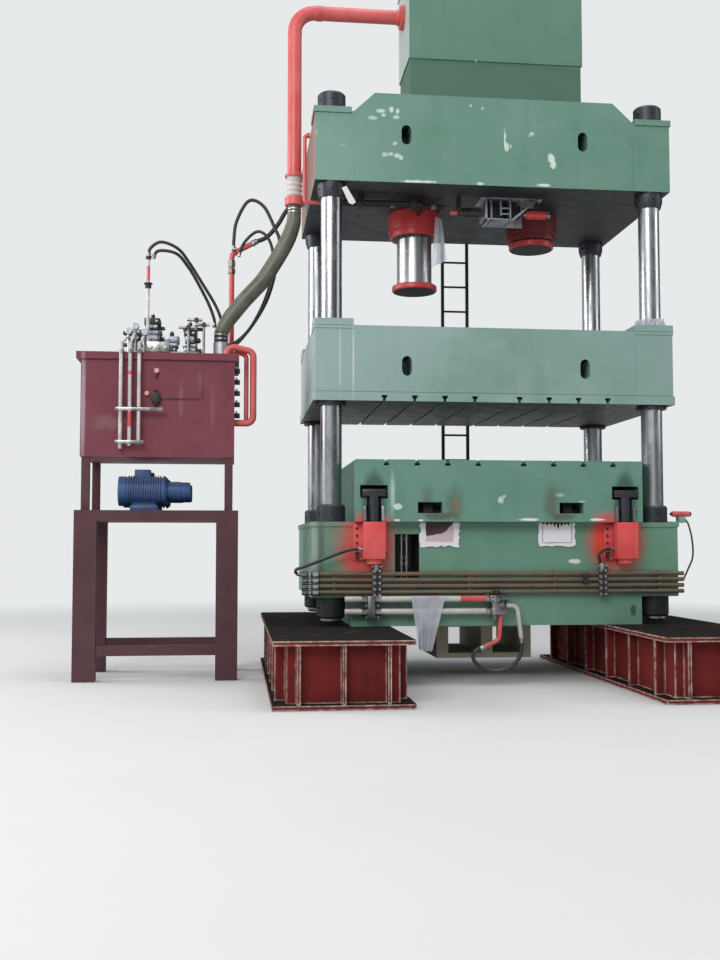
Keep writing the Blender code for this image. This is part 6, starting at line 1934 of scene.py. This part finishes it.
def wrapped(around, up):
    """Crumpled film gathered round the front right column."""
    angle = 2 * math.pi * 0.97 * around
    crumple = 0.010 * math.sin(9 * angle + 2 * up) + 0.007 * math.sin(17 * angle - 5 * up)
    radius = COLUMN_R + 0.024 + crumple + 0.012 * (1 - up)
    rise = slide[1].z + 0.003 + 0.075 * up + 0.008 * up * math.sin(5 * angle)
    x, y = axes["front_right"].xy
    return (x + radius * math.cos(angle), y + radius * math.sin(angle), rise)


gland_x = middle_of("cylinder_left").x
over_pipes = hanging_film(
    ((-0.888, upper + 0.032), (-0.552, upper + 0.032)),
    ((-0.815, upper - 0.485), (-0.685, upper - 0.500)), cushion_y - 0.050, 0.014, 5,
)
torn = hanging_film(
    ((gland_x + 0.175, crown_low - 0.10), (gland_x + 0.245, crown_low - 0.13)),
    ((gland_x + 0.130, crown_low - 0.66), (gland_x + 0.300, crown_low - 0.56)), -0.315, 0.018, 3,
)
for name, film, body, flat, held, rests_on in (
    ("plastic_over_pipes", over_pipes, "press_frame", (0.235, 0.520), "hung", "cushion_lines_pair"),
    ("torn_film", torn, "press_frame", (0.125, 0.50), "hung", "cylinder_body_left"),
    ("film_at_column", shaped_grid(120, 14, wrapped), "slide", (1.05, 0.080), "gathered", "slide"),
):
    settle(name, film, clear_plastic, "grey_rubber", body=body, smooth=80)
print("small things placed")

# %% [markdown]
# ## Stage and light
# A plain pale floor and a plain pale surround. The camera and the reflections see the surround at
# its own brightness, while the light that it sheds is set apart from that. One large soft lamp in
# front and one above give the plain level at which paint renders as it is mixed.

# %% Floor, world and lamps
clear_selection()
bpy.ops.mesh.primitive_plane_add(size=160, location=(0, 0, FLOOR - 0.002))
floor = bpy.context.object
floor.name = "floor"
floor_material, tree, shader = new_material("floor_material", Roughness=0.75)
tone = blend_colour(tree, cloud(tree, 0.35, 5, 0.6), (0.60, 0.60, 0.595), (0.68, 0.68, 0.672))
feed(tree, tone, shader["Base Color"])
place = put(tree, "ShaderNodeTexCoord").outputs["Object"]
distance = put(tree, "ShaderNodeVectorMath", place, operation="LENGTH").outputs["Value"]
feed(tree, rescale(tree, distance, 7.0, 17.0, 1.0, 0.0, smooth=True), shader["Alpha"])
floor.data.materials.append(floor_material)

world = bpy.data.worlds.new("studio")
bpy.context.scene.world = world
world.use_nodes = True
tree = world.node_tree
tree.nodes.clear()
paths = put(tree, "ShaderNodeLightPath").outputs
seen = maths(tree, "MAXIMUM", paths["Is Camera Ray"], paths["Is Transmission Ray"])
way = parts_of(tree, "ShaderNodeTexCoord", "Generated")
from_left = rescale(tree, way["X"], -1.0, 0.9, 0.55, 0.13, smooth=True)
pane = times(tree, rescale(tree, way["X"], -0.42, -0.22), rescale(tree, way["X"], 0.12, -0.02))
pane = times(tree, pane, rescale(tree, way["Y"], 0.1, -0.4))
bright = maths(tree, "MULTIPLY_ADD", pane, 0.35, from_left)
shed, mirrored, shown = (
    put(tree, "ShaderNodeBackground", (*colour, 1), strength).outputs[0]
    for colour, strength in (
        ((0.92, 0.96, 1.0), 0.50), ((0.92, 0.97, 1.0), bright), ((0.80, 0.82, 0.82), 1.0)
    )
)
mixed = put(tree, "ShaderNodeMixShader", paths["Is Glossy Ray"], shed, mirrored).outputs[0]
mixed = put(tree, "ShaderNodeMixShader", seen, mixed, shown).outputs[0]
put(tree, "ShaderNodeOutputWorld", mixed)


def lamp(name, place, aim, size, power):
    """A large soft lamp turned to a point."""
    data = bpy.data.lights.new(name, "AREA")
    data.shape, data.energy = "RECTANGLE", power
    data.size, data.size_y = size
    piece = bpy.data.objects.new(name, data)
    bpy.context.scene.collection.objects.link(piece)
    piece.location = place
    piece.rotation_euler = (Vector(aim) - Vector(place)).to_track_quat("-Z", "Y").to_euler()


lamp("front_lamp", (-8, -14, 8.5), (-0.5, 0, 1.5), (9, 7), 1400)
lamp("left_lamp", (-14, 1.5, 4.5), (-1.5, 0, 1.6), (8, 6), 1150)
lamp("top_lamp", (1.5, -1.5, 13), (0, 0, 1.0), (10, 10), 800)
lamp("right_lamp", (13, -5, 6), (0, 0, 1.5), (6, 8), 400)
bpy.context.scene.view_settings.view_transform = "Standard"
print("stage set")
